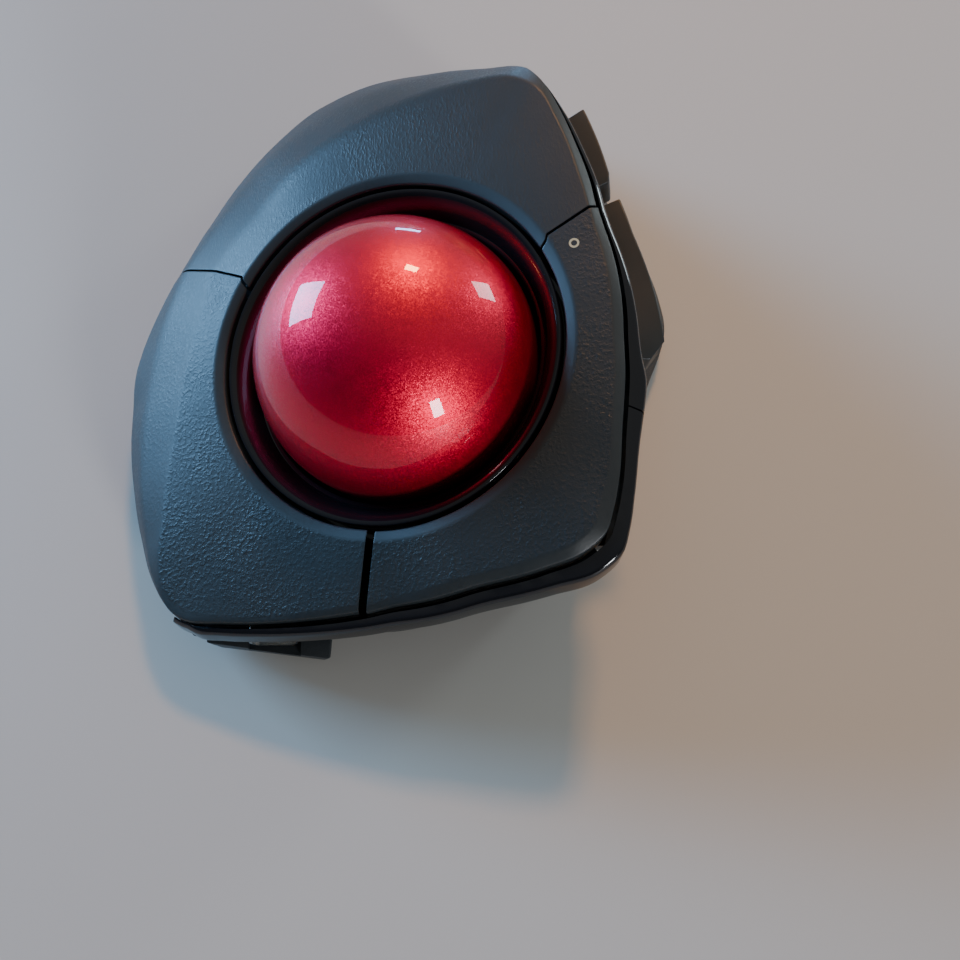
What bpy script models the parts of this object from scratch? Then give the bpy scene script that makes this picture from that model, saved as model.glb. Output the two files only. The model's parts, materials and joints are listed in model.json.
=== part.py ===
"""Finger-operated trackball mouse with thumb-side buttons, as an assembly of separate pieces.

Lengths are millimetres in the tables below and metres in the finished objects. The tables are in
plan polar coordinates around the ball's vertical axis: angle 0 points to the thumb side (+X), angle
90 to the palm end (+Y) and angle -90 to the front (-Y). Heights are above the surface that the
mouse stands on. The finished mouse has its origin under the middle of its outline.
"""
import math

import bmesh
import bpy
import numpy as np
from mathutils import Matrix, Vector

# ---------------------------------------------------------------- driving dimensions (mm)
MM = 0.001
BALL_RADIUS = 22.0
BALL_HEIGHT = 25.9
BALL_Y = -21.25                      # the ball's axis, from the middle of the outline
RING_NORMAL = Vector((-0.273, -0.230, 0.935)).normalized()
RING_GAP_RADIUS = 27.1               # inner edge of the top panels, around the ball
RING_GAP_LIFT = 5.35                 # that edge above the ball's centre, along the ring's normal
RING_LAND_RADIUS = 28.7              # outer edge of the chamfer round the ring
RING_LAND_LIFT = 5.8
RING_SKIRT = 2.1                     # depth of the panels' edge round the ring
PANEL_WALL = 1.8
PANEL_SKIRT = 2.4                    # depth of the panels' outer edge above the band
LEAST_LENGTH = 0.06                  # half of the shortest stretch of a panel's inner side
CASE_WALL = 1.6
FLOOR_LOW = 1.0                      # underside of the floor
FLOOR_HIGH = FLOOR_LOW + CASE_WALL
FOOT_HEIGHT = 0.7
CLEARANCE = 0.3
FRONT_SEAM = -97.0                   # seam between the right button and the Fn1 button
FRONT_SEAM_WIDTH = 1.2
THUMB_SEAM = 27.5                    # seam between the Fn1 button and the palm cover
RIGHT_SEAM = 149.0                   # seam between the palm cover and the right button
SEAM_WIDTH = 0.7
SOCKET_INNER = 22.7
SOCKET_OUTER = 24.2
SOCKET_RIM_RADIUS = 26.45
EJECT_HOLE_RADIUS = 8.0
BEARING_RADIUS = 1.25
BATTERY_RADIUS = 7.1
BATTERY_LENGTH = 49.5
BATTERY_CENTRE = Vector((0.8, 44.8, 11.6))
WHEEL_RADIUS = 10.0
WHEEL_WIDTH = 6.0
WHEEL_ANGLE = 32.0                   # the wheel's middle round the ball's axis
WHEEL_FALL = 0.425                   # and its place down the thumb side, from 0 to 1
PLUNGER_TRAVEL = 0.25
BUTTON_GAP = 0.45                    # between a thumb-side button and its window
RIGHT_HINGE = (-122.0, 42.0, 11.0)   # front fold of the right button: angle, radius, height
FN1_HINGE = (-62.0, 37.0, 24.0)
POSTS = ((-38.0, -2.0), (20.5, -20.0), (-16.0, 63.0), (19.0, 61.0))
POST_RADIUS = 3.2
POST_HEIGHT = 7.0
COUNTERBORE = 2.4
SCREW_HOLE = 1.35
BAY_LENGTH = 54.0                    # battery bay in the floor
BAY_WIDTH = 17.0
SLIDER_SLOT = 8.0
SLIDER_TRAVEL = 3.8
POWER_PLACE = (-22.0, -18.0)
MODE_PLACE = (18.0, 25.5)
PAIRING_PLACE = (-22.0, 22.0)
USB_CENTRE = Vector((-19.8, -36.2, 6.7))
BEARING_TURNS = (30.0, 150.0, 270.0)
BEARING_DIP = 38.0                   # of the bearings under the ball's equator
SENSOR_TURN = 90.0
SENSOR_DIP = 40.0
SWITCH_SIZE = (6.0, 3.2, 3.6)
SMALL_SWITCH_SIZE = (4.2, 3.2, 2.8)
FEET = ((-29.0, -27.0), (25.0, -7.0), (36.0, 38.0), (-38.0, 22.0), (0.0, 74.0))
FOOT_RADIUS = 4.0
BALL_CENTRE = Vector((0.0, 0.0, BALL_HEIGHT))
DOOR_HINGE = Vector((BATTERY_CENTRE.x, BATTERY_CENTRE.y - BAY_WIDTH / 2 + 0.75, FLOOR_LOW + 0.6))

# ---------------------------------------------------------------- outline tables: angle, radius, height
# Where the flat top of the panels ends: bevel on the front and thumb side, crest behind, crease right.
INNER_EDGE = (
    (-135, 48.2, 12.2), (-125, 44.9, 14.0), (-116, 41.7, 16.0), (-107, 39.3, 18.1), (-97, 37.6, 20.3),
    (-89, 36.6, 22.0), (-79, 36.4, 24.4), (-58, 39.4, 29.0), (-51.5, 41.0, 30.8), (-48, 41.0, 31.7),
    (-43.7, 39.4, 32.7), (-38, 37.8, 33.9), (-27.5, 34.4, 36.2), (-18, 32.7, 37.8), (-5, 31.2, 39.7),
    (6.5, 31.0, 41.2), (20, 31.3, 42.6), (34, 33.5, 44.1), (43, 36.0, 45.0), (52, 39.2, 45.8),
    (59, 42.3, 46.2), (66, 43.5, 45.6), (75, 42.0, 43.9), (90, 39.5, 40.6), (105, 38.0, 37.0),
    (118, 37.0, 33.6), (131, 35.5, 30.0), (140, 35.8, 27.6), (147, 36.4, 25.8), (158, 34.5, 24.4),
    (170, 34.2, 22.6), (181, 34.9, 20.7), (193, 36.7, 18.7), (202, 39.4, 16.9), (210, 42.6, 15.2),
    (216, 46.0, 13.5), (221, 48.0, 12.4))
# Outer edge of the panels: over the band in front and on the thumb side, the shoulder elsewhere.
OUTER_EDGE = (
    (-135, 49.4, 11.6), (-132, 48.9, 11.9), (-125, 45.7, 13.5), (-116.5, 42.6, 15.5),
    (-107, 40.1, 17.5), (-97, 38.4, 19.6), (-89, 37.6, 21.4), (-75, 37.8, 24.2), (-59, 40.6, 27.9),
    (-51.7, 42.4, 29.7), (-47.4, 42.7, 30.9), (-43.2, 41.4, 32.0), (-38, 39.5, 33.2),
    (-27.5, 36.0, 35.4), (-18.4, 34.3, 37.0), (-5, 32.8, 39.0), (6.5, 32.6, 40.6), (20, 32.9, 42.0),
    (26.5, 33.5, 42.6), (34.5, 35.3, 43.4), (43.5, 37.8, 44.2), (52, 41.1, 45.0), (59, 44.5, 45.5),
    (64, 47.2, 44.6), (74, 51.0, 39.5), (84, 52.0, 36.3), (92, 52.0, 34.1), (101, 51.5, 31.5),
    (110, 50.5, 28.8), (118, 49.0, 27.0), (125, 47.5, 25.0), (132, 46.0, 23.8), (139, 45.0, 22.6),
    (147, 44.3, 21.2), (157, 43.1, 19.5), (173, 42.3, 16.5), (185, 43.1, 14.5), (191, 43.7, 13.6),
    (202, 45.1, 12.5), (210, 46.5, 11.9), (217, 48.3, 11.6))
# Steep flank under the shoulder, right and rear.
FLANK = (
    (64, 48.8, 43.2), (68, 52.5, 39.0), (72, 58.5, 33.0), (78, 65.0, 27.0), (84, 67.5, 24.2),
    (95, 67.5, 22.0), (105, 66.0, 19.5), (115, 61.5, 17.5), (125, 56.5, 16.2), (135, 52.2, 15.5),
    (147, 49.6, 13.6), (158, 48.6, 12.2), (170, 48.05, 11.0), (180, 46.9, 9.9), (195, 46.6, 9.2),
    (207, 47.4, 9.2), (217, 48.8, 9.8), (223, 49.3, 10.6))
# Bottom edge of the covers, right and rear.
HEM = (
    (64, 49.6, 41.6), (68, 57.0, 34.5), (72, 66.0, 25.0), (76, 74.0, 16.0), (80, 79.5, 10.0),
    (86, 82.7, 7.4), (92, 83.65, 6.5), (98, 82.2, 6.5), (106, 78.0, 6.5), (115, 71.3, 6.5),
    (125, 64.2, 6.5), (135, 57.7, 6.5), (147, 52.4, 6.5), (158, 50.1, 6.5), (170, 48.0, 6.3),
    (180, 46.9, 6.2), (193, 46.5, 6.3), (205, 47.0, 6.8), (215, 48.4, 8.0), (223, 49.2, 9.2))
# Outline of the base at the floor.
BASE_OUTLINE = (
    (-133, 45.5, 2.0), (-120, 41.0, 2.0), (-105, 37.0, 2.0), (-90, 35.6, 2.0), (-75, 34.5, 2.0),
    (-60, 34.6, 2.0), (-45, 36.0, 2.0), (-36, 36.0, 2.0), (-25, 35.3, 2.0), (-12, 36.8, 2.0),
    (0, 39.3, 2.0), (12, 43.6, 2.0), (18, 47.4, 2.0), (24, 51.45, 2.0), (31, 54.35, 2.0),
    (38, 57.3, 2.0), (46, 61.0, 2.0), (54, 65.5, 2.0), (62, 70.0, 2.0), (70, 75.0, 2.0),
    (78, 80.0, 2.0), (86, 82.9, 2.0), (92, 83.3, 2.0), (98, 81.9, 2.0), (106, 77.7, 2.0),
    (115, 71.0, 2.0), (125, 63.9, 2.0), (135, 57.4, 2.0), (147, 52.1, 2.0), (158, 49.8, 2.0),
    (170, 47.7, 2.0), (180, 46.7, 2.0), (193, 46.2, 2.0), (205, 46.5, 2.0), (215, 47.0, 2.0),
    (222, 46.8, 2.0))
# How far the glossy band stands out past the panels' outer edge: angle, overhang.
BAND_OVERHANG = (
    (-137, 0.9), (-130, 1.6), (-115, 1.8), (-100, 2.0), (-89, 2.3), (-61, 2.6), (-50, 3.3),
    (-46, 3.3), (-36, 2.8), (-22, 3.2), (-15.5, 3.4), (-12, 2.9), (-4, 2.5), (8, 2.1), (22, 1.8),
    (40, 1.8), (49, 1.8), (60, 1.3), (130, 1.0), (200, 0.9))
BAND_START = -134.0
BAND_END = 60.5
THUMB_START = -45.0
THUMB_END = 83.0
THUMB_TOP_DROP = 7.0                 # top of the thumb panel under the panels' outer edge
THUMB_TOP_OUT = 1.7
REAR_CORNER = 63.0                   # where the covers' edge leaves the band and runs down the back


# ---------------------------------------------------------------- curves round the ball
def smooth_table(table):
    """A closed curve through (angle, value, ...) rows that doesn't overshoot between them."""
    rows = sorted(((row[0] + 360.0) % 360.0, *row[1:]) for row in table)
    angles = np.array([row[0] for row in rows])
    values = np.array([row[1:] for row in rows], dtype=float)
    angles = np.concatenate([angles[-2:] - 360.0, angles, angles[:2] + 360.0])
    values = np.concatenate([values[-2:], values, values[:2]])
    spans = np.diff(angles)[:, None]
    slopes = np.diff(values, axis=0) / spans
    tangents = np.zeros_like(values)
    before, after = slopes[:-1], slopes[1:]
    same_sign = before * after > 0
    weight_a = 2 * spans[1:] + spans[:-1]
    weight_b = spans[1:] + 2 * spans[:-1]
    safe_before = np.where(same_sign, before, 1.0)
    safe_after = np.where(same_sign, after, 1.0)
    harmonic = (weight_a + weight_b) / (weight_a / safe_before + weight_b / safe_after)
    tangents[1:-1] = np.where(same_sign, harmonic, 0.0)

    def read(angle):
        turned = angle % 360.0
        index = int(np.clip(np.searchsorted(angles, turned) - 1, 0, len(spans) - 1))
        span = spans[index, 0]
        t = (turned - angles[index]) / span
        start = (1 + 2 * t) * (1 - t) ** 2 * values[index] + t * (1 - t) ** 2 * span * tangents[index]
        end = t * t * (3 - 2 * t) * values[index + 1] + t * t * (t - 1) * span * tangents[index + 1]
        return start + end

    return read


inner_edge = smooth_table(INNER_EDGE)
outer_edge = smooth_table(OUTER_EDGE)
flank = smooth_table(FLANK)
hem = smooth_table(HEM)
base_outline = smooth_table(BASE_OUTLINE)
band_overhang = smooth_table(BAND_OVERHANG)


def polar(angle, radius, height):
    """A point from its angle round the ball, its distance from the ball's axis and its height."""
    turn = math.radians(angle)
    return Vector((radius * math.cos(turn), radius * math.sin(turn), height))


def ring_point(angle, radius, lift):
    """Point of the tilted circle of that radius, that far above the ball's centre, at a plan angle."""
    turn = math.radians(angle)
    along = RING_NORMAL.x * math.cos(turn) + RING_NORMAL.y * math.sin(turn)
    up = RING_NORMAL.z
    a = 1 + (along / up) ** 2
    b = -2 * lift * along / up ** 2
    c = (lift / up) ** 2 - lift ** 2 - radius ** 2
    reach = (-b + math.sqrt(b * b - 4 * a * c)) / (2 * a)
    return polar(angle, reach, BALL_HEIGHT + (lift - reach * along) / up)


def over_band(angle):
    """True where the covers end above the glossy band, False where they run down to the base."""
    turned = (angle + 180.0) % 360.0 - 180.0
    return -136.5 < turned < REAR_CORNER


def panel_section(angle):
    """Outer surface of the top panels at one angle, from the ring outwards and down."""
    inner = inner_edge(angle)
    outer = outer_edge(angle)
    land = ring_point(angle, RING_LAND_RADIUS, RING_LAND_LIFT)
    middle = (land + polar(angle, *inner)) / 2
    points = [
        ring_point(angle, RING_GAP_RADIUS, RING_GAP_LIFT - RING_SKIRT),
        ring_point(angle, RING_GAP_RADIUS, RING_GAP_LIFT),
        land,
        middle,
        polar(angle, *inner),
        polar(angle, *((inner + outer) / 2)),
        polar(angle, *outer)]
    if over_band(angle):
        points.append(polar(angle, outer[0] - 0.05, outer[1] - PANEL_SKIRT / 2))
        points.append(polar(angle, outer[0] - 0.1, outer[1] - PANEL_SKIRT))
    else:
        points.append(polar(angle, *flank(angle)))
        points.append(polar(angle, *hem(angle)))
    return points


def thumb_top(angle):
    """Top edge of the thumb panel: under the band, then under the palm cover's rear edge."""
    if angle < REAR_CORNER - 3:
        outer = outer_edge(angle)
        return polar(angle, outer[0] + THUMB_TOP_OUT, outer[1] - THUMB_TOP_DROP)
    edge = hem(max(angle, 64.0))
    return polar(angle, edge[0] - 0.3, edge[1] - 2.0)


def thumb_surface(angle, fall):
    """Point on the thumb side's outer surface: fall is 0 at its top edge and 1 at its foot."""
    top = thumb_top(angle)
    foot = polar(angle, base_outline(angle)[0] + 0.4, 4.3)
    depth = (top - foot).length
    hollow = 0.06 * depth * math.sin(math.pi * fall)
    inwards = polar(angle, -1.0, 0.0)
    return top.lerp(foot, fall) + inwards * hollow


# ---------------------------------------------------------------- making objects
def material(name, colour, roughness, metallic=0.0):
    """A Principled material, made once for each name."""
    if name in bpy.data.materials:
        return bpy.data.materials[name]
    made = bpy.data.materials.new(name)
    made.use_nodes = True
    shader = made.node_tree.nodes["Principled BSDF"]
    shader.inputs["Base Color"].default_value = (*colour, 1.0)
    shader.inputs["Roughness"].default_value = roughness
    shader.inputs["Metallic"].default_value = metallic
    made.diffuse_color = (*colour, 1.0)
    return made


def charcoal_plastic():
    return material("charcoal_plastic", (0.035, 0.038, 0.042), 0.55)


def case_plastic():
    return material("case_plastic", (0.02, 0.021, 0.024), 0.5)


def gloss_black():
    return material("gloss_black", (0.006, 0.006, 0.008), 0.12)


def ball_red():
    return material("ball_red", (0.45, 0.0, 0.02), 0.08)


def steel():
    return material("steel", (0.62, 0.62, 0.6), 0.3, 1.0)


def rubber():
    return material("rubber", (0.015, 0.015, 0.015), 0.8)


def board_green():
    return material("board_green", (0.02, 0.14, 0.06), 0.45)


def white_plastic():
    return material("white_plastic", (0.7, 0.7, 0.68), 0.4)


def ruby():
    return material("ruby", (0.55, 0.01, 0.06), 0.05)


def clear_lens():
    return material("clear_lens", (0.6, 0.65, 0.7), 0.05)


def battery_wrap():
    return material("battery_wrap", (0.1, 0.2, 0.32), 0.35)


def to_world(point):
    """From millimetres round the ball's axis to metres from the middle of the outline."""
    return Vector((point[0], point[1] + BALL_Y, point[2])) * MM


def add_object(name, mesh_work, finish, origin=None, smooth_angle=35.0):
    """Turn a bmesh in the tables' millimetres into a named object with its origin at a point."""
    pivot = to_world(origin) if origin is not None else Vector((0.0, 0.0, 0.0))
    for vertex in mesh_work.verts:
        vertex.co = to_world(vertex.co) - pivot
    mesh = bpy.data.meshes.new(name)
    mesh_work.to_mesh(mesh)
    mesh_work.free()
    mesh.shade_smooth()
    mesh.set_sharp_from_angle(angle=math.radians(smooth_angle))
    mesh.materials.append(finish)
    made = bpy.data.objects.new(name, mesh)
    made.location = pivot
    bpy.context.scene.collection.objects.link(made)
    return made


def add_thickness(made, wall):
    """Give an open surface a wall on its inner side."""
    shell = made.modifiers.new("wall", "SOLIDIFY")
    shell.thickness = wall * MM
    shell.offset = -1.0
    shell.use_even_offset = True
    return made


def cut(made, tool):
    """Subtract a tool object, which stays hidden as a guide."""
    tool.hide_render = True
    tool.display_type = "WIRE"
    work = made.modifiers.new(tool.name, "BOOLEAN")
    work.operation = "DIFFERENCE"
    work.solver = "EXACT"
    work.object = tool
    return made


def join_solid(made, tool):
    """Unite a solid with a tool object, which stays hidden as a guide."""
    cut(made, tool)
    made.modifiers[tool.name].operation = "UNION"
    return made


def surface(columns, closed=False, skip=None):
    """Open surface through columns of points; skip(column, row) leaves a cell out."""
    work = bmesh.new()
    grid = [[work.verts.new(point) for point in column] for column in columns]
    count = len(grid)
    for j in range(count if closed else count - 1):
        this, following = grid[j], grid[(j + 1) % count]
        for i in range(len(this) - 1):
            if skip is None or not skip(j, i):
                work.faces.new((this[i], this[i + 1], following[i + 1], following[i]))
    loose = [vertex for vertex in work.verts if not vertex.link_faces]
    bmesh.ops.delete(work, geom=loose, context="VERTS")
    return work


def loft(sections, closed=False):
    """Closed solid through loops of points; open lofts get a flat cap at each end."""
    work = bmesh.new()
    grid = [[work.verts.new(point) for point in section] for section in sections]
    count = len(grid)
    for j in range(count if closed else count - 1):
        this, following = grid[j], grid[(j + 1) % count]
        for i in range(len(this)):
            k = (i + 1) % len(this)
            work.faces.new((this[i], this[k], following[k], following[i]))
    if not closed:
        work.faces.new(grid[0])
        work.faces.new(list(reversed(grid[-1])))
    bmesh.ops.recalc_face_normals(work, faces=work.faces)
    return work


def axes_to(direction):
    """Rotation that takes +Z to a direction."""
    return Vector((0, 0, 1)).rotation_difference(Vector(direction)).to_matrix().to_4x4()


def box_work(size, centre, turn=None, work=None):
    """A rectangular block in a bmesh."""
    work = work or bmesh.new()
    place = Matrix.Translation(Vector(centre)) @ (turn or Matrix.Identity(4))
    bmesh.ops.create_cube(work, size=1.0, matrix=place @ Matrix.Diagonal((*size, 1.0)))
    return work


def rod_work(radius, length, centre, direction=(0, 0, 1), sides=24, work=None):
    """A round rod in a bmesh, along a direction and centred on a point."""
    work = work or bmesh.new()
    place = Matrix.Translation(Vector(centre)) @ axes_to(direction)
    bmesh.ops.create_cone(work, cap_ends=True, segments=sides, radius1=radius, radius2=radius,
                          depth=length, matrix=place)
    return work


def turned_work(profile, centre, direction=(0, 0, 1), sides=32, work=None):
    """A turned solid: profile rows are (radius, height along the axis), a closed loop."""
    work = work or bmesh.new()
    place = Matrix.Translation(Vector(centre)) @ axes_to(direction)
    rings = []
    for step in range(sides):
        turn = 2 * math.pi * step / sides
        rings.append([work.verts.new(place @ Vector((r * math.cos(turn), r * math.sin(turn), h)))
                      for r, h in profile])
    faces = []
    for j in range(sides):
        this, following = rings[j], rings[(j + 1) % sides]
        for i in range(len(profile)):
            k = (i + 1) % len(profile)
            faces.append(work.faces.new((this[i], this[k], following[k], following[i])))
    bmesh.ops.recalc_face_normals(work, faces=faces)
    return work


def angles_between(start, end, step=5.0):
    """Angles from start to end, closer together where the outline turns a corner."""
    corners = (-135.0, -132.0, -128.0, -51.7, -47.4, -43.2, 59.0, 64.0, 68.0, 72.0, 76.0, 80.0,
               217.0, 221.0)
    found = {start, end}
    count = max(1, round((end - start) / step))
    found.update(start + (end - start) * n / count for n in range(count + 1))
    for corner in corners:
        for shift in (0.0, -360.0, 360.0):
            if start + 1.2 < corner + shift < end - 1.2:
                found = {a for a in found if abs(a - corner - shift) > 1.3 or a in (start, end)}
                found.add(corner + shift)
    return sorted(found)


# ---------------------------------------------------------------- covers
def inner_side(section, angle):
    """The section moved inwards by the wall; a length that would turn over is closed up instead."""
    radial = polar(angle, 1.0, 0.0)
    flat = [Vector((point.dot(radial), point.z)) for point in section]
    runs = [(after - here).normalized() for here, after in zip(flat, flat[1:])]
    inwards = [Vector((run.y, -run.x)) for run in runs]
    moved = []
    for here, before, after in zip(flat, inwards[:1] + inwards, inwards + inwards[-1:]):
        middle = (before + after).normalized()
        moved.append(here + middle * PANEL_WALL / middle.dot(before))
    for _ in range(6):
        for i, run in enumerate(runs):
            if (moved[i + 1] - moved[i]).dot(run) < LEAST_LENGTH:
                centre = (moved[i] + moved[i + 1]) / 2
                moved[i], moved[i + 1] = centre - run * LEAST_LENGTH, centre + run * LEAST_LENGTH
    return [radial * point.x + Vector((0.0, 0.0, point.y)) for point in moved]


def panel(name, start, end, start_gap, end_gap, origin=None):
    """One sector of the top shell between two seams, with half of each seam's width left out."""
    face, back = [], []
    for angle in angles_between(start, end):
        aside = {start: start_gap / 2, end: -end_gap / 2}.get(angle, 0.0)
        section = panel_section(angle)
        face.append([shift_round(point, aside) for point in section])
        back.append([shift_round(point, aside) for point in inner_side(section, angle)])
    add_object(name, slab(face, back), charcoal_plastic(), origin)


def shift_round(point, distance):
    """Move a point sideways round the ball's axis by a distance."""
    radial = Vector((point.x, point.y, 0.0)).normalized()
    sideways = Vector((-radial.y, radial.x, 0.0))
    return point + sideways * distance


def make_covers():
    panel("palm_cover", THUMB_SEAM, RIGHT_SEAM, SEAM_WIDTH, SEAM_WIDTH)
    panel("right_button", RIGHT_SEAM, 360 + FRONT_SEAM, SEAM_WIDTH, FRONT_SEAM_WIDTH,
          origin=polar(*RIGHT_HINGE))
    panel("fn1_button", FRONT_SEAM, THUMB_SEAM, FRONT_SEAM_WIDTH, SEAM_WIDTH, origin=polar(*FN1_HINGE))


def make_side_band():
    sections = []
    for angle in angles_between(BAND_START, BAND_END):
        edge, height = outer_edge(angle)
        reach = float(band_overhang(angle)[0])
        inner = min(0.75, reach - 0.7)
        profile = ((inner, -1.0), (reach - 0.4, -1.3), (reach, -1.9), (reach - 0.1, -5.2),
                   (reach - 0.4, -6.0), (inner, -6.0))
        sections.append([polar(angle, edge + out, height + up) for out, up in profile])
    add_object("side_band", loft(sections), gloss_black(), smooth_angle=50.0)


# ---------------------------------------------------------------- thumb side
THUMB_ANGLES = (THUMB_START, -40, -35, -28, -21, -14, -8, -5, 0, 6, 12, 16.5, 24, 30.5, 37, 40.5, 46,
                50, 54, 57.5, 61, 64, 68, 72, 76, 80, THUMB_END)
THUMB_FALLS = (0.0, 0.05, 0.14, 0.24, 0.31, 0.42, 0.56, 0.66, 0.78, 0.88, 1.0)
# Windows in the thumb panel: first angle, last angle, first fall, last fall.
FORWARD_WINDOW = (-5, 37, 0.05, 0.24)
BACK_WINDOW = (40.5, 57.5, 0.05, 0.24)
WHEEL_WINDOW = (16.5, 46, 0.31, 0.56)
LEFT_WINDOW = (-35, 12, 0.31, 0.78)
FN2_WINDOW = (50, 61, 0.31, 0.56)
WINDOWS = (FORWARD_WINDOW, BACK_WINDOW, WHEEL_WINDOW, LEFT_WINDOW, FN2_WINDOW)


def inside_window(angle, fall):
    return any(w[0] < angle < w[1] and w[2] < fall < w[3] for w in WINDOWS)


def make_thumb_panel():
    columns = [[thumb_surface(a, f) for f in THUMB_FALLS] for a in THUMB_ANGLES]

    def skip(j, i):
        angle = (THUMB_ANGLES[j] + THUMB_ANGLES[j + 1]) / 2
        fall = (THUMB_FALLS[i] + THUMB_FALLS[i + 1]) / 2
        return inside_window(angle, fall)

    made = add_object("thumb_panel", surface(columns, skip=skip), case_plastic())
    add_thickness(made, CASE_WALL)


def thumb_normal(angle, fall):
    """Outward direction of the thumb side's surface."""
    along = thumb_surface(angle + 1, fall) - thumb_surface(angle - 1, fall)
    down = thumb_surface(angle, min(fall + 0.02, 1)) - thumb_surface(angle, max(fall - 0.02, 0))
    return down.cross(along).normalized()


def window_button(name, window, rise, depth):
    """A button that fills a window: its face stands off the surface by rise(along, across)."""
    first, last, high, low = window
    angles = [a for a in THUMB_ANGLES if first <= a <= last]
    falls = [f for f in THUMB_FALLS if high <= f <= low]
    face, back = [], []
    for a in angles:
        along = (a - first) / (last - first)
        shares = [(f - high) / (low - high) for f in falls]
        face.append([button_point(window, along, share, rise(along, share)) for share in shares])
        back.append([button_point(window, along, share, -depth) for share in shares])
    centre = thumb_surface((first + last) / 2, (high + low) / 2)
    add_object(name, slab(face, back), charcoal_plastic(), origin=centre)


def slab(face, back):
    """Closed solid between a face and a back, which are grids of points of the same size."""
    work = bmesh.new()
    front = [[work.verts.new(point) for point in column] for column in face]
    rear = [[work.verts.new(point) for point in column] for column in back]
    columns, rows = len(front), len(front[0])
    for j in range(columns - 1):
        for i in range(rows - 1):
            work.faces.new((front[j][i], front[j][i + 1], front[j + 1][i + 1], front[j + 1][i]))
            work.faces.new((rear[j][i], rear[j + 1][i], rear[j + 1][i + 1], rear[j][i + 1]))
    border = [(j, 0) for j in range(columns)] + [(columns - 1, i) for i in range(1, rows)]
    border += [(j, rows - 1) for j in range(columns - 2, -1, -1)] + [(0, i) for i in range(rows - 2, 0, -1)]
    for here, following in zip(border, border[1:] + border[:1]):
        (j, i), (k, m) = here, following
        work.faces.new((front[j][i], front[k][m], rear[k][m], rear[j][i]))
    bmesh.ops.recalc_face_normals(work, faces=work.faces)
    return work


def button_point(window, along, across, stand):
    """Point of a button's face: inside the window by the gap, and off the surface by stand."""
    first, last, high, low = window
    angle = first + (last - first) * along
    fall = high + (low - high) * across
    point = thumb_surface(angle, fall)
    sideways = thumb_surface(last, fall) - thumb_surface(first, fall)
    down = thumb_surface(angle, low) - thumb_surface(angle, high)
    inset_side = sideways.normalized() * BUTTON_GAP * (1 - 2 * along)
    inset_down = down.normalized() * BUTTON_GAP * (1 - 2 * across)
    return point + inset_side + inset_down + thumb_normal(angle, fall) * stand


def make_thumb_buttons():
    """Keys of the thumb side: the forward and back keys are ledges whose front ends slope off."""
    window_button("forward_button", FORWARD_WINDOW,
                  lambda along, across: min(6.2 - 1.9 * along, 3.4 + 22.0 * along) - 0.8 * across, 1.4)
    window_button("back_button", BACK_WINDOW,
                  lambda along, across: min(4.2 + 1.5 * along, 3.6 + 6.0 * along) - 0.8 * across, 1.4)
    window_button("left_button", LEFT_WINDOW, lambda along, across: 0.5, 1.6)
    window_button("fn2_button", FN2_WINDOW, lambda along, across: 0.7, 1.6)


# ---------------------------------------------------------------- base
def base_top(angle):
    """Top edge of the base's wall."""
    turned = (angle + 180.0) % 360.0 - 180.0
    if -133.0 <= turned <= THUMB_START - 2.0:
        edge, height = outer_edge(turned)
        return polar(turned, edge + 0.6, height - 6.0 - CLEARANCE - 0.2)
    if THUMB_START - 2.0 < turned < THUMB_END + 1.0:
        return polar(turned, base_outline(turned)[0] + 0.2, 3.0)
    return polar(turned, hem(turned)[0] - 0.1, 4.4)


def base_section(angle):
    """Outer surface of the base at one angle: wall, rounded foot and floor."""
    top = base_top(angle)
    radius = base_outline(angle)[0]
    low_wall = polar(angle, radius, 2.2)
    points = [top, top.lerp(low_wall, 0.5), low_wall, polar(angle, radius - 1.2, FLOOR_LOW)]
    points += [polar(angle, 9.6 + (radius - 10.8) * part, FLOOR_LOW) for part in (0.55, 0.0)]
    return points


HOOD_POINTS = ((-29.0, -38.3, 3.6), (-12.0, -40.6, 3.6), (-30.6, -38.2, 5.8), (-11.0, -41.0, 5.8),
               (-30.8, -34.4, 7.0), (-10.6, -35.4, 7.2), (-27.5, -34.4, 3.0), (-13.0, -35.4, 3.0))


def hood_work():
    """The shelf that sticks out under the charging port."""
    work = bmesh.new()
    for point in HOOD_POINTS:
        work.verts.new(point)
    bmesh.ops.convex_hull(work, input=work.verts)
    return work


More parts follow.
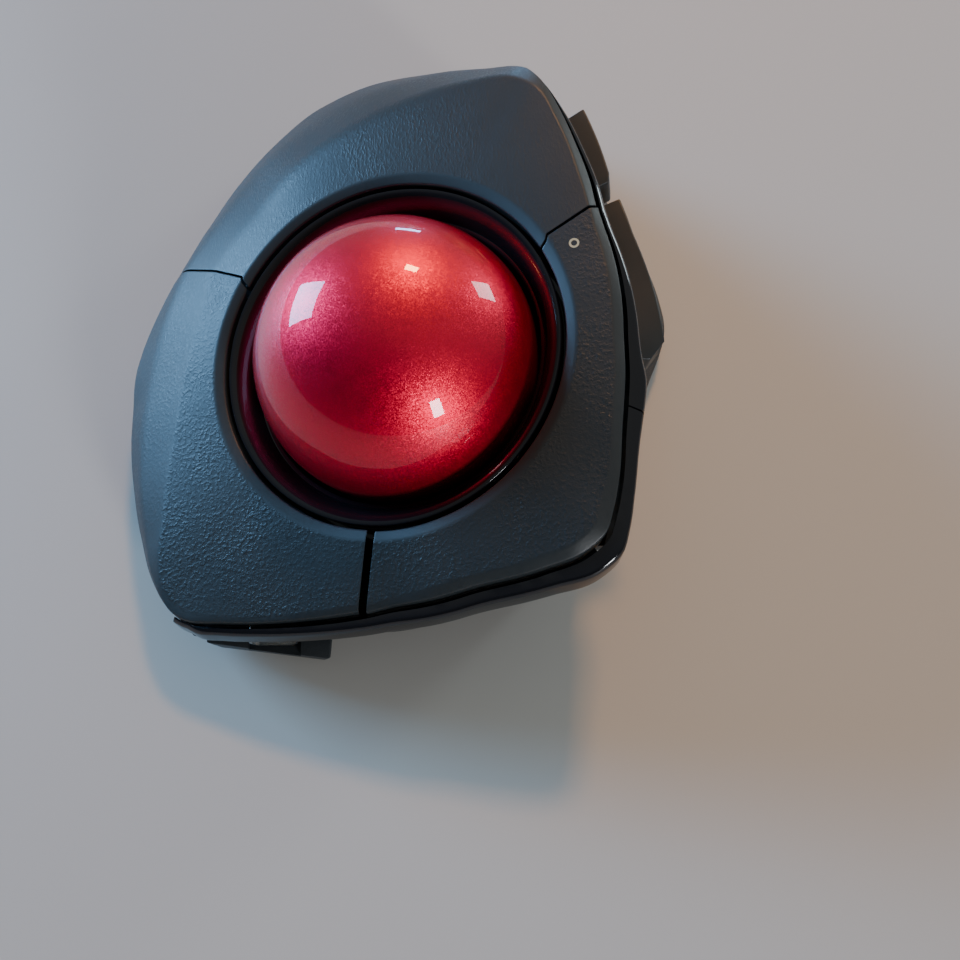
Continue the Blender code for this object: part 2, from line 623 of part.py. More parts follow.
def make_base():
    angles = angles_between(-133.0, 227.0)[:-1]
    angles = [a for a in angles if abs(a + 47.4) > 0.1]
    angles += [THUMB_START - 2.0, THUMB_START - 0.8, THUMB_END + 0.5, THUMB_END + 2.0, -134.6 + 360]
    angles = sorted(angles)
    work = surface([base_section(a) for a in angles], closed=True)
    made = add_object("base_case", work, case_plastic())
    add_thickness(made, CASE_WALL)
    posts = bmesh.new()
    for x, y in POSTS:
        rod_work(POST_RADIUS, POST_HEIGHT, (x, y, FLOOR_HIGH - 0.5 + POST_HEIGHT / 2), sides=16, work=posts)
    join_solid(made, add_object("post_guide", posts, case_plastic()))
    join_solid(made, add_object("hood_guide", hood_work(), case_plastic()))
    cutters = bmesh.new()
    box_work((BAY_LENGTH, BAY_WIDTH, 6.0), (BATTERY_CENTRE.x, BATTERY_CENTRE.y, FLOOR_LOW), work=cutters)
    box_work((SLIDER_SLOT, 3.2, 6.0), (*POWER_PLACE, FLOOR_LOW), work=cutters)
    box_work((SLIDER_SLOT, 3.2, 6.0), (*MODE_PLACE, FLOOR_LOW), work=cutters)
    rod_work(2.6, 6.0, (*PAIRING_PLACE, FLOOR_LOW), sides=20, work=cutters)
    for x, y in POSTS:
        capped_turn_work([(COUNTERBORE, 0.0), (COUNTERBORE, 2.4), (SCREW_HOLE, 2.45), (SCREW_HOLE, 12.0)],
                         (x, y, 0), sides=16, work=cutters)
    box_work((9.0, 12.0, 3.6), (USB_CENTRE.x, USB_CENTRE.y, USB_CENTRE.z), work=cutters)
    cut(made, add_object("base_guide", cutters, case_plastic()))


# ---------------------------------------------------------------- ball and its socket
def direction(turn, dip):
    """Unit vector from the ball's centre, at a plan angle and that far under the horizontal."""
    flat = math.cos(math.radians(dip))
    return Vector((flat * math.cos(math.radians(turn)), flat * math.sin(math.radians(turn)),
                   -math.sin(math.radians(dip))))


def capped_turn_work(profile, centre, along=(0, 0, 1), sides=20, work=None):
    """A turned solid from rows of (radius, height), with a flat cap at both ends."""
    work = work or bmesh.new()
    place = Matrix.Translation(Vector(centre)) @ axes_to(along)
    rings = []
    for radius, height in profile:
        turns = [2 * math.pi * step / sides for step in range(sides)]
        rings.append([work.verts.new(place @ Vector((radius * math.cos(t), radius * math.sin(t), height)))
                      for t in turns])
    faces = [work.faces.new(rings[0]), work.faces.new(rings[-1])]
    for low, high in zip(rings, rings[1:]):
        for i in range(sides):
            k = (i + 1) % sides
            faces.append(work.faces.new((low[i], low[k], high[k], high[i])))
    bmesh.ops.recalc_face_normals(work, faces=faces)
    return work


def make_ball():
    work = bmesh.new()
    place = Matrix.Translation(BALL_CENTRE)
    bmesh.ops.create_uvsphere(work, u_segments=40, v_segments=20, radius=BALL_RADIUS, matrix=place)
    add_object("ball", work, ball_red(), origin=BALL_CENTRE, smooth_angle=80.0)


def socket_profile():
    """Funnel, cup and mounting flange as (radius, height) rows round the ring's axis."""
    arc = [math.radians(a) for a in (14, 30, 46, 62, 76, 87.9)]
    inside = [(SOCKET_INNER * math.cos(a), -SOCKET_INNER * math.sin(a)) for a in arc]
    outside = [(SOCKET_OUTER * math.cos(a), -SOCKET_OUTER * math.sin(a)) for a in reversed(arc)]
    funnel = [(SOCKET_RIM_RADIUS, 5.3), (25.9, 5.3), (23.0, 2.4), (SOCKET_INNER, 0.0)]
    flange = [(SOCKET_OUTER, -3.2), (29.0, -3.2), (29.0, -1.6), (25.2, -1.6), (SOCKET_RIM_RADIUS, 1.5)]
    return funnel + inside + outside + flange


def make_socket():
    work = turned_work(socket_profile(), BALL_CENTRE, RING_NORMAL, sides=40)
    made = add_object("ball_socket", work, gloss_black(), smooth_angle=40.0)
    cutters = bmesh.new()
    rod_work(EJECT_HOLE_RADIUS, 12.0, (0, 0, 4.0), work=cutters)
    for turn in BEARING_TURNS:
        way = direction(turn, BEARING_DIP)
        rod_work(BEARING_RADIUS + 0.35, 6.0, BALL_CENTRE + way * 23.5, way, sides=12, work=cutters)
    way = direction(SENSOR_TURN, SENSOR_DIP)
    rod_work(3.0, 6.0, BALL_CENTRE + way * 23.5, way, sides=16, work=cutters)
    cut(made, add_object("socket_guide", cutters, gloss_black()))
    reach = BALL_RADIUS + CLEARANCE + BEARING_RADIUS
    for number, turn in enumerate(BEARING_TURNS, start=1):
        way = direction(turn, BEARING_DIP)
        bead = bmesh.new()
        bmesh.ops.create_icosphere(bead, subdivisions=2, radius=BEARING_RADIUS,
                                   matrix=Matrix.Translation(BALL_CENTRE + way * reach))
        add_object(f"ruby_bearing_{number}", bead, ruby(), smooth_angle=80.0)
        cap = rod_work(2.4, 1.5, BALL_CENTRE + way * 25.9, way, sides=16)
        add_object(f"bearing_cap_{number}", cap, steel())


def make_sensor():
    way = direction(SENSOR_TURN, SENSOR_DIP)
    turn = axes_to(way)
    lens = capped_turn_work([(2.6, 24.7), (2.6, 25.6), (4.2, 25.7), (4.2, 26.4)], BALL_CENTRE, way)
    add_object("sensor_lens", lens, clear_lens())
    chip = box_work((9.0, 6.0, 1.6), BALL_CENTRE + way * 27.5, turn)
    add_object("sensor_chip", chip, gloss_black())
    board = box_work((15.0, 7.0, 1.0), BALL_CENTRE + way * 29.1, turn)
    add_object("sensor_board", board, board_green())


# ---------------------------------------------------------------- scroll wheel
def wheel_frame():
    """Centre of the wheel, and its outward, sideways and axle directions."""
    seat = thumb_surface(WHEEL_ANGLE, WHEEL_FALL)
    outward = thumb_normal(WHEEL_ANGLE, WHEEL_FALL)
    sideways = Vector((-math.sin(math.radians(WHEEL_ANGLE)), math.cos(math.radians(WHEEL_ANGLE)), 0.0))
    sideways = (sideways - outward * sideways.dot(outward)).normalized()
    axle = outward.cross(sideways)
    return seat - outward * (WHEEL_RADIUS - 3.6), outward, sideways, axle


def framed(outward, sideways):
    """Rotation whose X is sideways, Y is outward and Z is along the axle."""
    return Matrix((sideways, outward, sideways.cross(outward))).transposed().to_4x4()


def make_wheel():
    centre, outward, sideways, axle = wheel_frame()
    half = WHEEL_WIDTH / 2
    tyre = turned_work([(7.9, -half + 0.2), (9.3, -half), (WHEEL_RADIUS, -half + 0.7),
                        (WHEEL_RADIUS, half - 0.7), (9.3, half), (7.9, half - 0.2)],
                       centre, axle, sides=36)
    add_object("wheel_tyre", tyre, rubber(), origin=centre)
    hub = turned_work([(1.4, -half + 0.4), (7.6, -half + 0.4), (7.6, half - 0.4), (1.4, half - 0.4)],
                      centre, axle, sides=28)
    add_object("wheel_hub", hub, case_plastic(), origin=centre)
    rod = rod_work(1.0, 11.0, centre, axle, sides=14)
    add_object("wheel_axle", rod, steel(), origin=centre)
    turn = framed(outward, sideways)
    yoke = bmesh.new()
    for side in (-1, 1):
        arm_centre = centre + axle * side * 4.3 - outward * 4.1
        box_work((7.0, 15.4, 1.2), arm_centre, turn, work=yoke)
    web = add_object("yoke_guide", box_work((6.6, 1.2, 9.6), centre - outward * 11.3, turn), case_plastic())
    made = add_object("wheel_yoke", yoke, case_plastic(), origin=centre)
    join_solid(made, web)
    hole = rod_work(1.3, 14.0, centre, axle, sides=14)
    cut(made, add_object("axle_hole_guide", hole, case_plastic()))
    carriage = box_work((10.0, 1.1, 8.6), centre - outward * 12.9, turn)
    add_object("wheel_carriage", carriage, case_plastic(), origin=centre)
    encoder = box_work((6.0, 7.0, 3.0), centre - axle * 7.4 - outward * 2.0, turn)
    add_object("wheel_encoder", encoder, white_plastic())


# ---------------------------------------------------------------- switches and boards
def make_switch(name, point, facing, plunger=False, size=SWITCH_SIZE):
    """A micro switch whose top faces a button, and its moving plunger where it has its own node."""
    turn = axes_to(facing)
    body = box_work(size, point - facing * size[2] / 2, turn)
    add_object(name + "_switch", body, case_plastic())
    if plunger:
        nub = box_work((1.4, 1.8, 0.6), point + facing * (CLEARANCE + PLUNGER_TRAVEL + 0.3), turn)
        add_object(name + "_plunger", nub, white_plastic(), origin=point)


def window_centre(window):
    first, last, high, low = window
    return (first + last) / 2, (high + low) / 2


def make_switches():
    behind = {"forward": (*window_centre(FORWARD_WINDOW), 3.0), "back": (*window_centre(BACK_WINDOW), 3.2),
              "left": (*window_centre(LEFT_WINDOW), 3.6), "fn2": (57.0, 0.38, 3.2)}
    for name, (angle, fall, depth) in behind.items():
        facing = thumb_normal(angle, fall)
        size = SWITCH_SIZE if name == "left" else SMALL_SWITCH_SIZE
        make_switch(name, thumb_surface(angle, fall) - facing * depth, facing, name == "left", size)
    make_switch("right", Vector((-33.0, -3.0, 16.3)), RING_NORMAL, plunger=True)
    make_switch("fn1", Vector((29.3, 5.0, 36.4)), RING_NORMAL, size=(3.0, 6.0, 3.6))
    angle, fall = window_centre(LEFT_WINDOW)
    facing = thumb_normal(angle, fall)
    board_place = thumb_surface(angle, fall) - facing * (3.6 + SWITCH_SIZE[2] + 0.9)
    board = box_work((12.0, 20.0, 1.0), board_place, axes_to(facing))
    add_object("thumb_pcb", board, board_green())


def make_main_board():
    board = add_object("main_pcb", box_work((27.0, 12.5, 1.0), (-16.0, -26.3, 4.4)), board_green())
    holes = bmesh.new()
    for number, (x, y) in enumerate(((-26.5, -22.5), (-5.5, -22.5)), start=1):
        rod_work(1.1, 6.0, (x, y, 5.2), sides=12, work=holes)
        screw = capped_turn_work([(0.8, 2.9), (0.8, 5.15), (1.8, 5.2), (1.8, 6.0)], (x, y, 0), sides=12)
        add_object(f"pcb_screw_{number}", screw, steel())
    cut(board, add_object("board_guide", holes, board_green()))


def make_usb_port():
    shell = add_object("usb_port", box_work((7.5, 5.4, 2.7), (-19.8, -36.0, 6.6)), steel())
    cut(shell, add_object("usb_guide", box_work((6.7, 8.0, 1.9), (-19.8, -39.0, 6.6)), steel()))
    tongue = box_work((3.6, 2.0, 0.5), (-19.8, -36.4, 6.6))
    add_object("usb_tongue", tongue, white_plastic())


# ---------------------------------------------------------------- battery
def make_battery():
    centre = BATTERY_CENTRE
    half = BATTERY_LENGTH / 2
    cell = capped_turn_work([(6.7, -half), (BATTERY_RADIUS, -half + 0.4), (BATTERY_RADIUS, half - 1.6),
                             (6.6, half - 1.2), (2.7, half - 1.2), (2.7, half)], centre, (1, 0, 0))
    add_object("aa_battery", cell, battery_wrap())
    sections = []
    for x in (centre.x - 25.6, centre.x + 25.6):
        arc = [math.radians(a) for a in range(-15, 196, 15)]
        loop = [Vector((x, centre.y + 7.5 * math.cos(a), centre.z + 7.5 * math.sin(a))) for a in arc]
        loop += [Vector((x, centre.y + 8.6 * math.cos(a), centre.z + 8.6 * math.sin(a)))
                 for a in reversed(arc)]
        sections.append(loop)
    add_object("battery_tray", loft(sections), case_plastic())
    plate = box_work((0.4, 8.0, 8.0), (centre.x + half + 0.55, centre.y, centre.z + 1.0))
    add_object("battery_contact", plate, steel())
    make_battery_spring(Vector((centre.x - half - 0.4, centre.y, centre.z)))


def make_battery_spring(end):
    """Conical coil spring that pushes on the battery's flat end."""
    curve = bpy.data.curves.new("battery_spring", "CURVE")
    curve.dimensions = "3D"
    curve.bevel_depth = 0.3 * MM
    curve.bevel_resolution = 1
    curve.use_fill_caps = True
    steps = 42
    wire = curve.splines.new("POLY")
    wire.points.add(steps)
    for step in range(steps + 1):
        part = step / steps
        turn = part * 3 * 2 * math.pi
        radius = 2.0 + 2.4 * part
        coil = Vector((-3.4 * part - 0.3, radius * math.cos(turn), radius * math.sin(turn)))
        place = to_world(end + coil)
        wire.points[step].co = (*place, 1.0)
    curve.materials.append(steel())
    bpy.context.scene.collection.objects.link(bpy.data.objects.new("battery_spring", curve))


def make_battery_door():
    size = (BAY_LENGTH - 0.9, BAY_WIDTH - 0.9, 1.2)
    work = box_work(size, (BATTERY_CENTRE.x, BATTERY_CENTRE.y, FLOOR_LOW + 0.6))
    add_object("battery_door", work, case_plastic(), origin=DOOR_HINGE)


# ---------------------------------------------------------------- underside controls
def make_slider(name, place):
    """Sliding knob: a nub in the floor's slot and a wider plate above the floor."""
    x, y = place
    outline = ((-1.7, 0.8), (1.7, 0.8), (1.7, 2.95), (6.2, 2.95), (6.2, 3.9), (-6.2, 3.9),
               (-6.2, 2.95), (-1.7, 2.95))
    sections = [[Vector((x + dx, y + dy, z)) for dx, z in outline] for dy in (-1.2, 1.2)]
    add_object(name, loft(sections), white_plastic(), origin=Vector((x, y, 2.0)))


def make_underside():
    make_slider("power_slider", (POWER_PLACE[0] - SLIDER_TRAVEL / 2, POWER_PLACE[1]))
    make_slider("mode_slider", MODE_PLACE)
    x, y = PAIRING_PLACE
    button = capped_turn_work([(2.2, 0.9), (2.2, 3.2), (3.4, 3.3), (3.4, 4.0)], (x, y, 0))
    add_object("pairing_button", button, white_plastic(), origin=Vector((x, y, 2.0)))
    for number, (fx, fy) in enumerate(FEET, start=1):
        foot = rod_work(FOOT_RADIUS, FOOT_HEIGHT, (fx, fy, FOOT_HEIGHT / 2), sides=24)
        add_object(f"foot_{number}", foot, rubber())
    for number, (sx, sy) in enumerate(POSTS, start=1):
        screw = capped_turn_work([(2.1, 1.3), (2.1, 2.1), (1.05, 2.15), (1.05, 8.6)], (sx, sy, 0), sides=16)
        add_object(f"case_screw_{number}", screw, steel())


def main():
    for made in list(bpy.data.objects):
        bpy.data.objects.remove(made, do_unlink=True)
    make_covers()
    make_side_band()
    make_thumb_panel()
    make_thumb_buttons()
    make_base()
    make_ball()
    make_socket()
    make_sensor()
    make_wheel()
    make_switches()
    make_main_board()
    make_usb_port()
    make_battery()
    make_battery_door()
    make_underside()


main()
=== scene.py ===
"""Looks of the trackball mouse: fine surfaces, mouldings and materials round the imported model.

The tables are millimetres in plan polar coordinates round the ball's vertical axis, as in the CAD
model: angle 0 points to the thumb side (+X), 90 to the palm end (+Y), -90 to the front (-Y).
"""
import json
import math

import bmesh
import bpy
import numpy as np
from mathutils import Matrix, Vector


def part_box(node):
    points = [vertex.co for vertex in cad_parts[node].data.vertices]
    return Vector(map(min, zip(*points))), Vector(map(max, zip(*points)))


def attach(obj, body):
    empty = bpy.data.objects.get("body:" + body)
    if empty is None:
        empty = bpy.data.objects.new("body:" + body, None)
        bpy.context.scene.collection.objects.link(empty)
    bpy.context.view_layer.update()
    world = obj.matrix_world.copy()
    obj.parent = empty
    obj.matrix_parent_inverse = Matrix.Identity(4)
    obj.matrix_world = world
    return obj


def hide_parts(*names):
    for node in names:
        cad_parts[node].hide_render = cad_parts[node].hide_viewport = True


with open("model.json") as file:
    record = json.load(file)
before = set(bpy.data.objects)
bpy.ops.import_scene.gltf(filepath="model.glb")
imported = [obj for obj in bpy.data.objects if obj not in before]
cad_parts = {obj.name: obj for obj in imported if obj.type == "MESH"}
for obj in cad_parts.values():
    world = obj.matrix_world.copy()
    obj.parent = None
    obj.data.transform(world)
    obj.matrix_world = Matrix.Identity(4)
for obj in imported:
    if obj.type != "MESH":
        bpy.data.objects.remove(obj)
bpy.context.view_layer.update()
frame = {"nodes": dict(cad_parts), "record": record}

MM = 0.001

# ---- driving sizes (mm)
BALL_LOW, BALL_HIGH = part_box("ball")
BALL_PLACE = (BALL_LOW + BALL_HIGH) / 2 / MM
BALL_RADIUS = (BALL_HIGH.z - BALL_LOW.z) / 2 / MM
BALL_HEIGHT = BALL_PLACE.z
BALL_CENTRE = Vector((0.0, 0.0, BALL_HEIGHT))
RING_NORMAL = Vector((-0.273, -0.230, 0.935)).normalized()
RING_GAP_RADIUS = 27.1
RING_GAP_LIFT = 5.35
RING_LAND_RADIUS = 28.7
RING_LAND_LIFT = 5.8
RING_SKIRT = 2.1
PANEL_WALL = 1.8
PANEL_SKIRT = 2.4
CASE_WALL = 1.6
FLOOR_LOW = 1.0
FRONT_SEAM = -97.0
THUMB_SEAM = 27.5
RIGHT_SEAM = 149.0
THIN_GAP = 0.5                       # side seams of the top
FRONT_GAP = 1.15                     # front seam
SEAM_DRAFT = 0.8                     # how much further the hidden side of a seam is cut back
SKIRT_ROWS = 3                       # rows of a panel's section that are hidden in the ring's gap
REAR_CORNER = 62.2
HEM_INSET = 0.12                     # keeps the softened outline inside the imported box
BAND_START = -134.0
BAND_SPLIT = -23.0
BAND_END = 60.5
BAND_JOINT = 0.35                    # degrees left open where the band's two lengths meet
LEAST_REACH = 0.78                   # how far the band's thin end stands out

# ---- outlines: angle, radius, height; the base's and the band's have no height
INNER_EDGE = (
    (-135, 48.2, 12.2), (-125, 44.9, 14.0), (-116, 41.7, 16.0), (-107, 39.3, 18.1), (-97, 37.6, 20.3),
    (-89, 36.6, 22.0), (-79, 36.4, 24.4), (-58, 39.4, 29.0), (-51.5, 41.0, 30.8), (-48, 41.0, 31.7),
    (-43.7, 39.4, 32.7), (-38, 37.8, 33.9), (-27.5, 34.4, 36.2), (-18, 32.7, 37.8), (-5, 31.2, 39.7),
    (6.5, 31.0, 41.2), (20, 31.3, 42.6), (34, 33.5, 44.1), (43, 36.0, 45.0), (52, 39.2, 45.8),
    (59, 42.3, 46.2), (66, 43.5, 45.6), (75, 42.0, 43.9), (90, 39.5, 40.6), (105, 38.0, 37.0),
    (118, 37.0, 33.6), (131, 35.5, 30.0), (140, 35.8, 27.6), (147, 36.4, 25.8), (158, 34.5, 24.4),
    (170, 34.2, 22.6), (181, 34.9, 20.7), (193, 36.7, 18.7), (202, 39.4, 16.9), (210, 42.6, 15.2),
    (216, 46.0, 13.5), (221, 48.0, 12.4))
OUTER_EDGE = (
    (-135, 49.4, 11.6), (-132, 48.9, 11.9), (-125, 45.7, 13.5), (-116.5, 42.6, 15.5),
    (-107, 40.1, 17.5), (-97, 38.4, 19.6), (-89, 37.6, 21.4), (-75, 37.8, 24.2), (-59, 40.6, 27.9),
    (-51.7, 42.4, 29.7), (-47.4, 42.7, 30.9), (-43.2, 41.4, 32.0), (-38, 39.5, 33.2),
    (-27.5, 36.0, 35.4), (-18.4, 34.3, 37.0), (-5, 32.8, 39.0), (6.5, 32.6, 40.6), (20, 32.9, 42.0),
    (26.5, 33.5, 42.6), (34.5, 35.3, 43.4), (43.5, 37.8, 44.2), (52, 41.1, 45.0), (59, 44.5, 45.5),
    (64, 47.2, 44.6), (74, 51.0, 39.5), (84, 52.0, 36.3), (92, 52.0, 34.1), (101, 51.5, 31.5),
    (110, 50.5, 28.8), (118, 49.0, 27.0), (125, 47.5, 25.0), (132, 46.0, 23.8), (139, 45.0, 22.6),
    (147, 44.3, 21.2), (157, 43.1, 19.5), (173, 42.3, 16.5), (185, 43.1, 14.5), (191, 43.7, 13.6),
    (202, 45.1, 12.5), (210, 46.5, 11.9), (217, 48.3, 11.6))
FLANK = (
    (64, 48.8, 43.2), (68, 52.5, 39.0), (72, 58.5, 33.0), (78, 65.0, 27.0), (84, 67.5, 24.2),
    (95, 67.5, 22.0), (105, 66.0, 19.5), (115, 61.5, 17.5), (125, 56.5, 16.2), (135, 52.2, 15.5),
    (147, 49.6, 13.6), (158, 48.6, 12.2), (170, 48.05, 11.0), (180, 46.9, 9.9), (195, 46.6, 9.2),
    (207, 47.4, 9.2), (217, 48.8, 9.8), (223, 49.3, 10.6))
HEM = (
    (64, 49.6, 41.6), (68, 57.0, 34.5), (72, 66.0, 25.0), (76, 74.0, 16.0), (80, 79.5, 10.0),
    (86, 82.7, 7.4), (92, 83.65, 6.5), (98, 82.2, 6.5), (106, 78.0, 6.5), (115, 71.3, 6.5),
    (125, 64.2, 6.5), (135, 57.7, 6.5), (147, 52.4, 6.5), (158, 50.1, 6.5), (170, 48.0, 6.3),
    (180, 46.9, 6.2), (193, 46.5, 6.3), (205, 47.0, 6.8), (215, 48.4, 8.0), (223, 49.2, 9.2))
BASE_OUTLINE = (
    (-133, 45.5), (-120, 41.0), (-105, 37.0), (-90, 35.6), (-75, 34.5), (-60, 34.6), (-45, 36.0),
    (-36, 36.0), (-25, 35.3), (-12, 36.8), (0, 39.3), (12, 43.6), (18, 47.4), (24, 51.45), (31, 54.35),
    (38, 57.3), (46, 61.0), (54, 65.5), (62, 70.0), (70, 75.0), (78, 80.0), (86, 82.9), (92, 83.3),
    (98, 81.9), (106, 77.7), (115, 71.0), (125, 63.9), (135, 57.4), (147, 52.1), (158, 49.8),
    (170, 47.7), (180, 46.7), (193, 46.2), (205, 46.5), (215, 47.0), (222, 46.8))
BAND_OVERHANG = (
    (-137, 0.9), (-130, 1.6), (-115, 1.8), (-100, 2.0), (-89, 2.3), (-61, 2.6), (-50, 3.3),
    (-46, 3.3), (-36, 2.8), (-22, 3.2), (-15.5, 3.4), (-12, 2.9), (-4, 2.5), (8, 2.1), (22, 1.8),
    (40, 1.8), (49, 1.8), (60, 1.3), (130, 1.0), (200, 0.9))
# How far the corners of the top's section are rounded: angle, bevel line, outer edge, flank.
SOFTNESS = (
    (-135, 0.35, 0.3, 0.3), (-60, 0.3, 0.25, 0.3), (50, 0.3, 0.25, 0.3), (62, 0.4, 0.3, 0.3),
    (68, 0.8, 0.8, 1.5), (76, 1.8, 2.2, 4.0), (95, 3.0, 4.0, 7.0), (120, 2.6, 3.6, 6.0),
    (140, 1.6, 3.0, 4.0), (150, 0.7, 2.0, 2.5), (180, 0.5, 1.6, 1.5), (200, 0.6, 1.2, 0.8),
    (215, 0.6, 0.6, 0.4))


# ---- curves
def smooth_table(table, spread=0.55):
    """A closed curve through (angle, value, ...) rows, softened over a few degrees."""
    rows = sorted(((row[0] + 360.0) % 360.0, *row[1:]) for row in table)
    angles = np.array([row[0] for row in rows])
    values = np.array([row[1:] for row in rows], dtype=float)
    angles = np.concatenate([angles[-2:] - 360.0, angles, angles[:2] + 360.0])
    values = np.concatenate([values[-2:], values, values[:2]])
    spans = np.diff(angles)[:, None]
    slopes = np.diff(values, axis=0) / spans
    tangents = np.zeros_like(values)
    before, after = slopes[:-1], slopes[1:]
    same_sign = before * after > 0
    weight_a = 2 * spans[1:] + spans[:-1]
    weight_b = spans[1:] + 2 * spans[:-1]
    safe_before = np.where(same_sign, before, 1.0)
    safe_after = np.where(same_sign, after, 1.0)
    harmonic = (weight_a + weight_b) / (weight_a / safe_before + weight_b / safe_after)
    tangents[1:-1] = np.where(same_sign, harmonic, 0.0)

    def read(angle):
        turned = angle % 360.0
        index = int(np.clip(np.searchsorted(angles, turned) - 1, 0, len(spans) - 1))
        span = spans[index, 0]
        t = (turned - angles[index]) / span
        start = (1 + 2 * t) * (1 - t) ** 2 * values[index] + t * (1 - t) ** 2 * span * tangents[index]
        end = t * t * (3 - 2 * t) * values[index + 1] + t * t * (t - 1) * span * tangents[index + 1]
        return start + end

    fine = np.array([read(a) for a in np.arange(0.0, 360.0, 0.5)])
    shares = np.exp(-0.5 * (np.arange(-8, 9) * 0.5 / spread) ** 2)
    shares /= shares.sum()
    soft = sum(share * np.roll(fine, 8 - n, axis=0) for n, share in enumerate(shares))

    def read_soft(angle):
        place = (angle % 360.0) * 2.0
        index = int(place)
        t = place - index
        return soft[index % 720] * (1 - t) + soft[(index + 1) % 720] * t

    return read_soft


inner_edge = smooth_table(INNER_EDGE)
outer_edge = smooth_table(OUTER_EDGE)
flank = smooth_table(FLANK)
hem = smooth_table(HEM)
base_outline = smooth_table(BASE_OUTLINE, 1.6)
band_overhang = smooth_table(BAND_OVERHANG, 1.6)
softness = smooth_table(SOFTNESS, 2.0)


def blend_between(value, low, high):
    """0 below low, 1 above high, and a smooth step between them."""
    t = min(1.0, max(0.0, (value - low) / (high - low)))
    return t * t * (3 - 2 * t)


def polar(angle, radius, height):
    turn = math.radians(angle)
    return Vector((radius * math.cos(turn), radius * math.sin(turn), height))


def ring_point(angle, radius, lift):
    """Point of the tilted circle of that radius, that far above the ball's centre, at a plan angle."""
    turn = math.radians(angle)
    along = RING_NORMAL.x * math.cos(turn) + RING_NORMAL.y * math.sin(turn)
    up = RING_NORMAL.z
    a = 1 + (along / up) ** 2
    b = -2 * lift * along / up ** 2
    c = (lift / up) ** 2 - lift ** 2 - radius ** 2
    reach = (-b + math.sqrt(b * b - 4 * a * c)) / (2 * a)
    return polar(angle, reach, BALL_HEIGHT + (lift - reach * along) / up)


def to_world(point):
    return Vector((point[0] + BALL_PLACE.x, point[1] + BALL_PLACE.y, point[2])) * MM


def turned_angle(angle):
    return (angle + 180.0) % 360.0 - 180.0


# ---- meshes
def filleted(points, cuts, steps=4):
    """The path with every inner corner rounded, as (point, code) rows: code is the corner's number
    and a little to each side of it."""
    rows = [(points[0], 0.0)]
    for i in range(1, len(points) - 1):
        before, here, after = points[i - 1], points[i], points[i + 1]
        cut = min(cuts[i - 1], 0.45 * (here - before).length, 0.45 * (after - here).length)
        start = here + (before - here).normalized() * cut
        end = here + (after - here).normalized() * cut
        for n in range(steps + 1):
            t = n / steps
            bent = start.lerp(here, t).lerp(here.lerp(end, t), t)
            rows.append((bent, i + 0.3 * (2 * t - 1)))
    rows.append((points[-1], float(len(points) - 1)))
    return rows


def offset_path(points, angle, wall):
    """The path moved inwards by a wall, in the upright plane at that angle."""
    radial = polar(angle, 1.0, 0.0)
    flat = [Vector((point.dot(radial), point.z)) for point in points]
    moved = []
    for i, here in enumerate(flat):
        ways = []
        if i:
            ways.append((here - flat[i - 1]).normalized())
        if i < len(flat) - 1:
            ways.append((flat[i + 1] - here).normalized())
        inward = [Vector((way.y, -way.x)) for way in ways]
        middle = sum(inward, Vector((0.0, 0.0))).normalized()
        reach = wall / max(0.45, middle.dot(inward[0]))
        place = here + middle * reach
        moved.append(radial * place.x + Vector((0.0, 0.0, place.y)))
    return moved


def slab(face, back, closed=False):
    """Solid between two grids of points of the same size, whose columns may go all the way round."""
    work = bmesh.new()
    front = [[work.verts.new(point) for point in column] for column in face]
    rear = [[work.verts.new(point) for point in column] for column in back]
    columns, rows = len(front), len(front[0])
    for j in range(columns if closed else columns - 1):
        k = (j + 1) % columns
        for i in range(rows - 1):
            work.faces.new((front[j][i], front[j][i + 1], front[k][i + 1], front[k][i]))
            work.faces.new((rear[j][i], rear[k][i], rear[k][i + 1], rear[j][i + 1]))
        if closed:
            work.faces.new((front[j][0], front[k][0], rear[k][0], rear[j][0]))
            work.faces.new((front[j][-1], rear[j][-1], rear[k][-1], front[k][-1]))
    if not closed:
        border = [(j, 0) for j in range(columns)] + [(columns - 1, i) for i in range(1, rows)]
        border += [(j, rows - 1) for j in range(columns - 2, -1, -1)]
        border += [(0, i) for i in range(rows - 2, 0, -1)]
        for (j, i), (k, m) in zip(border, border[1:] + border[:1]):
            work.faces.new((front[j][i], front[k][m], rear[k][m], rear[j][i]))
    bmesh.ops.recalc_face_normals(work, faces=work.faces)
    return work


def loft(sections, closed=False):
    """Solid through loops of points, which may go on from the last to the first."""
    work = bmesh.new()
    grid = [[work.verts.new(point) for point in section] for section in sections]
    count = len(grid)
    for j in range(count if closed else count - 1):
        this, following = grid[j], grid[(j + 1) % count]
        for i in range(len(this)):
            k = (i + 1) % len(this)
            work.faces.new((this[i], this[k], following[k], following[i]))
    if not closed:
        work.faces.new(grid[0])
        work.faces.new(list(reversed(grid[-1])))
    bmesh.ops.recalc_face_normals(work, faces=work.faces)
    return work


def axes_to(direction):
    return Vector((0, 0, 1)).rotation_difference(Vector(direction)).to_matrix().to_4x4()


def turned_work(profile, centre, along=(0, 0, 1), sides=96, closed=True):
    """A turned solid: rows of (radius, height) along the axis; an open profile gets flat caps."""
    place = Matrix.Translation(Vector(centre)) @ axes_to(along)
    sections = []
    for radius, height in profile:
        turns = [2 * math.pi * step / sides for step in range(sides)]
        sections.append([place @ Vector((radius * math.cos(t), radius * math.sin(t), height))
                         for t in turns])
    return loft(sections, closed=closed)


def box_work(size, centre, work=None):
    """A box, in a bmesh of its own or added to one."""
    work = work or bmesh.new()
    place = Matrix.Translation(Vector(centre))
    bmesh.ops.create_cube(work, size=1.0, matrix=place @ Matrix.Diagonal((*size, 1.0)))
    return work


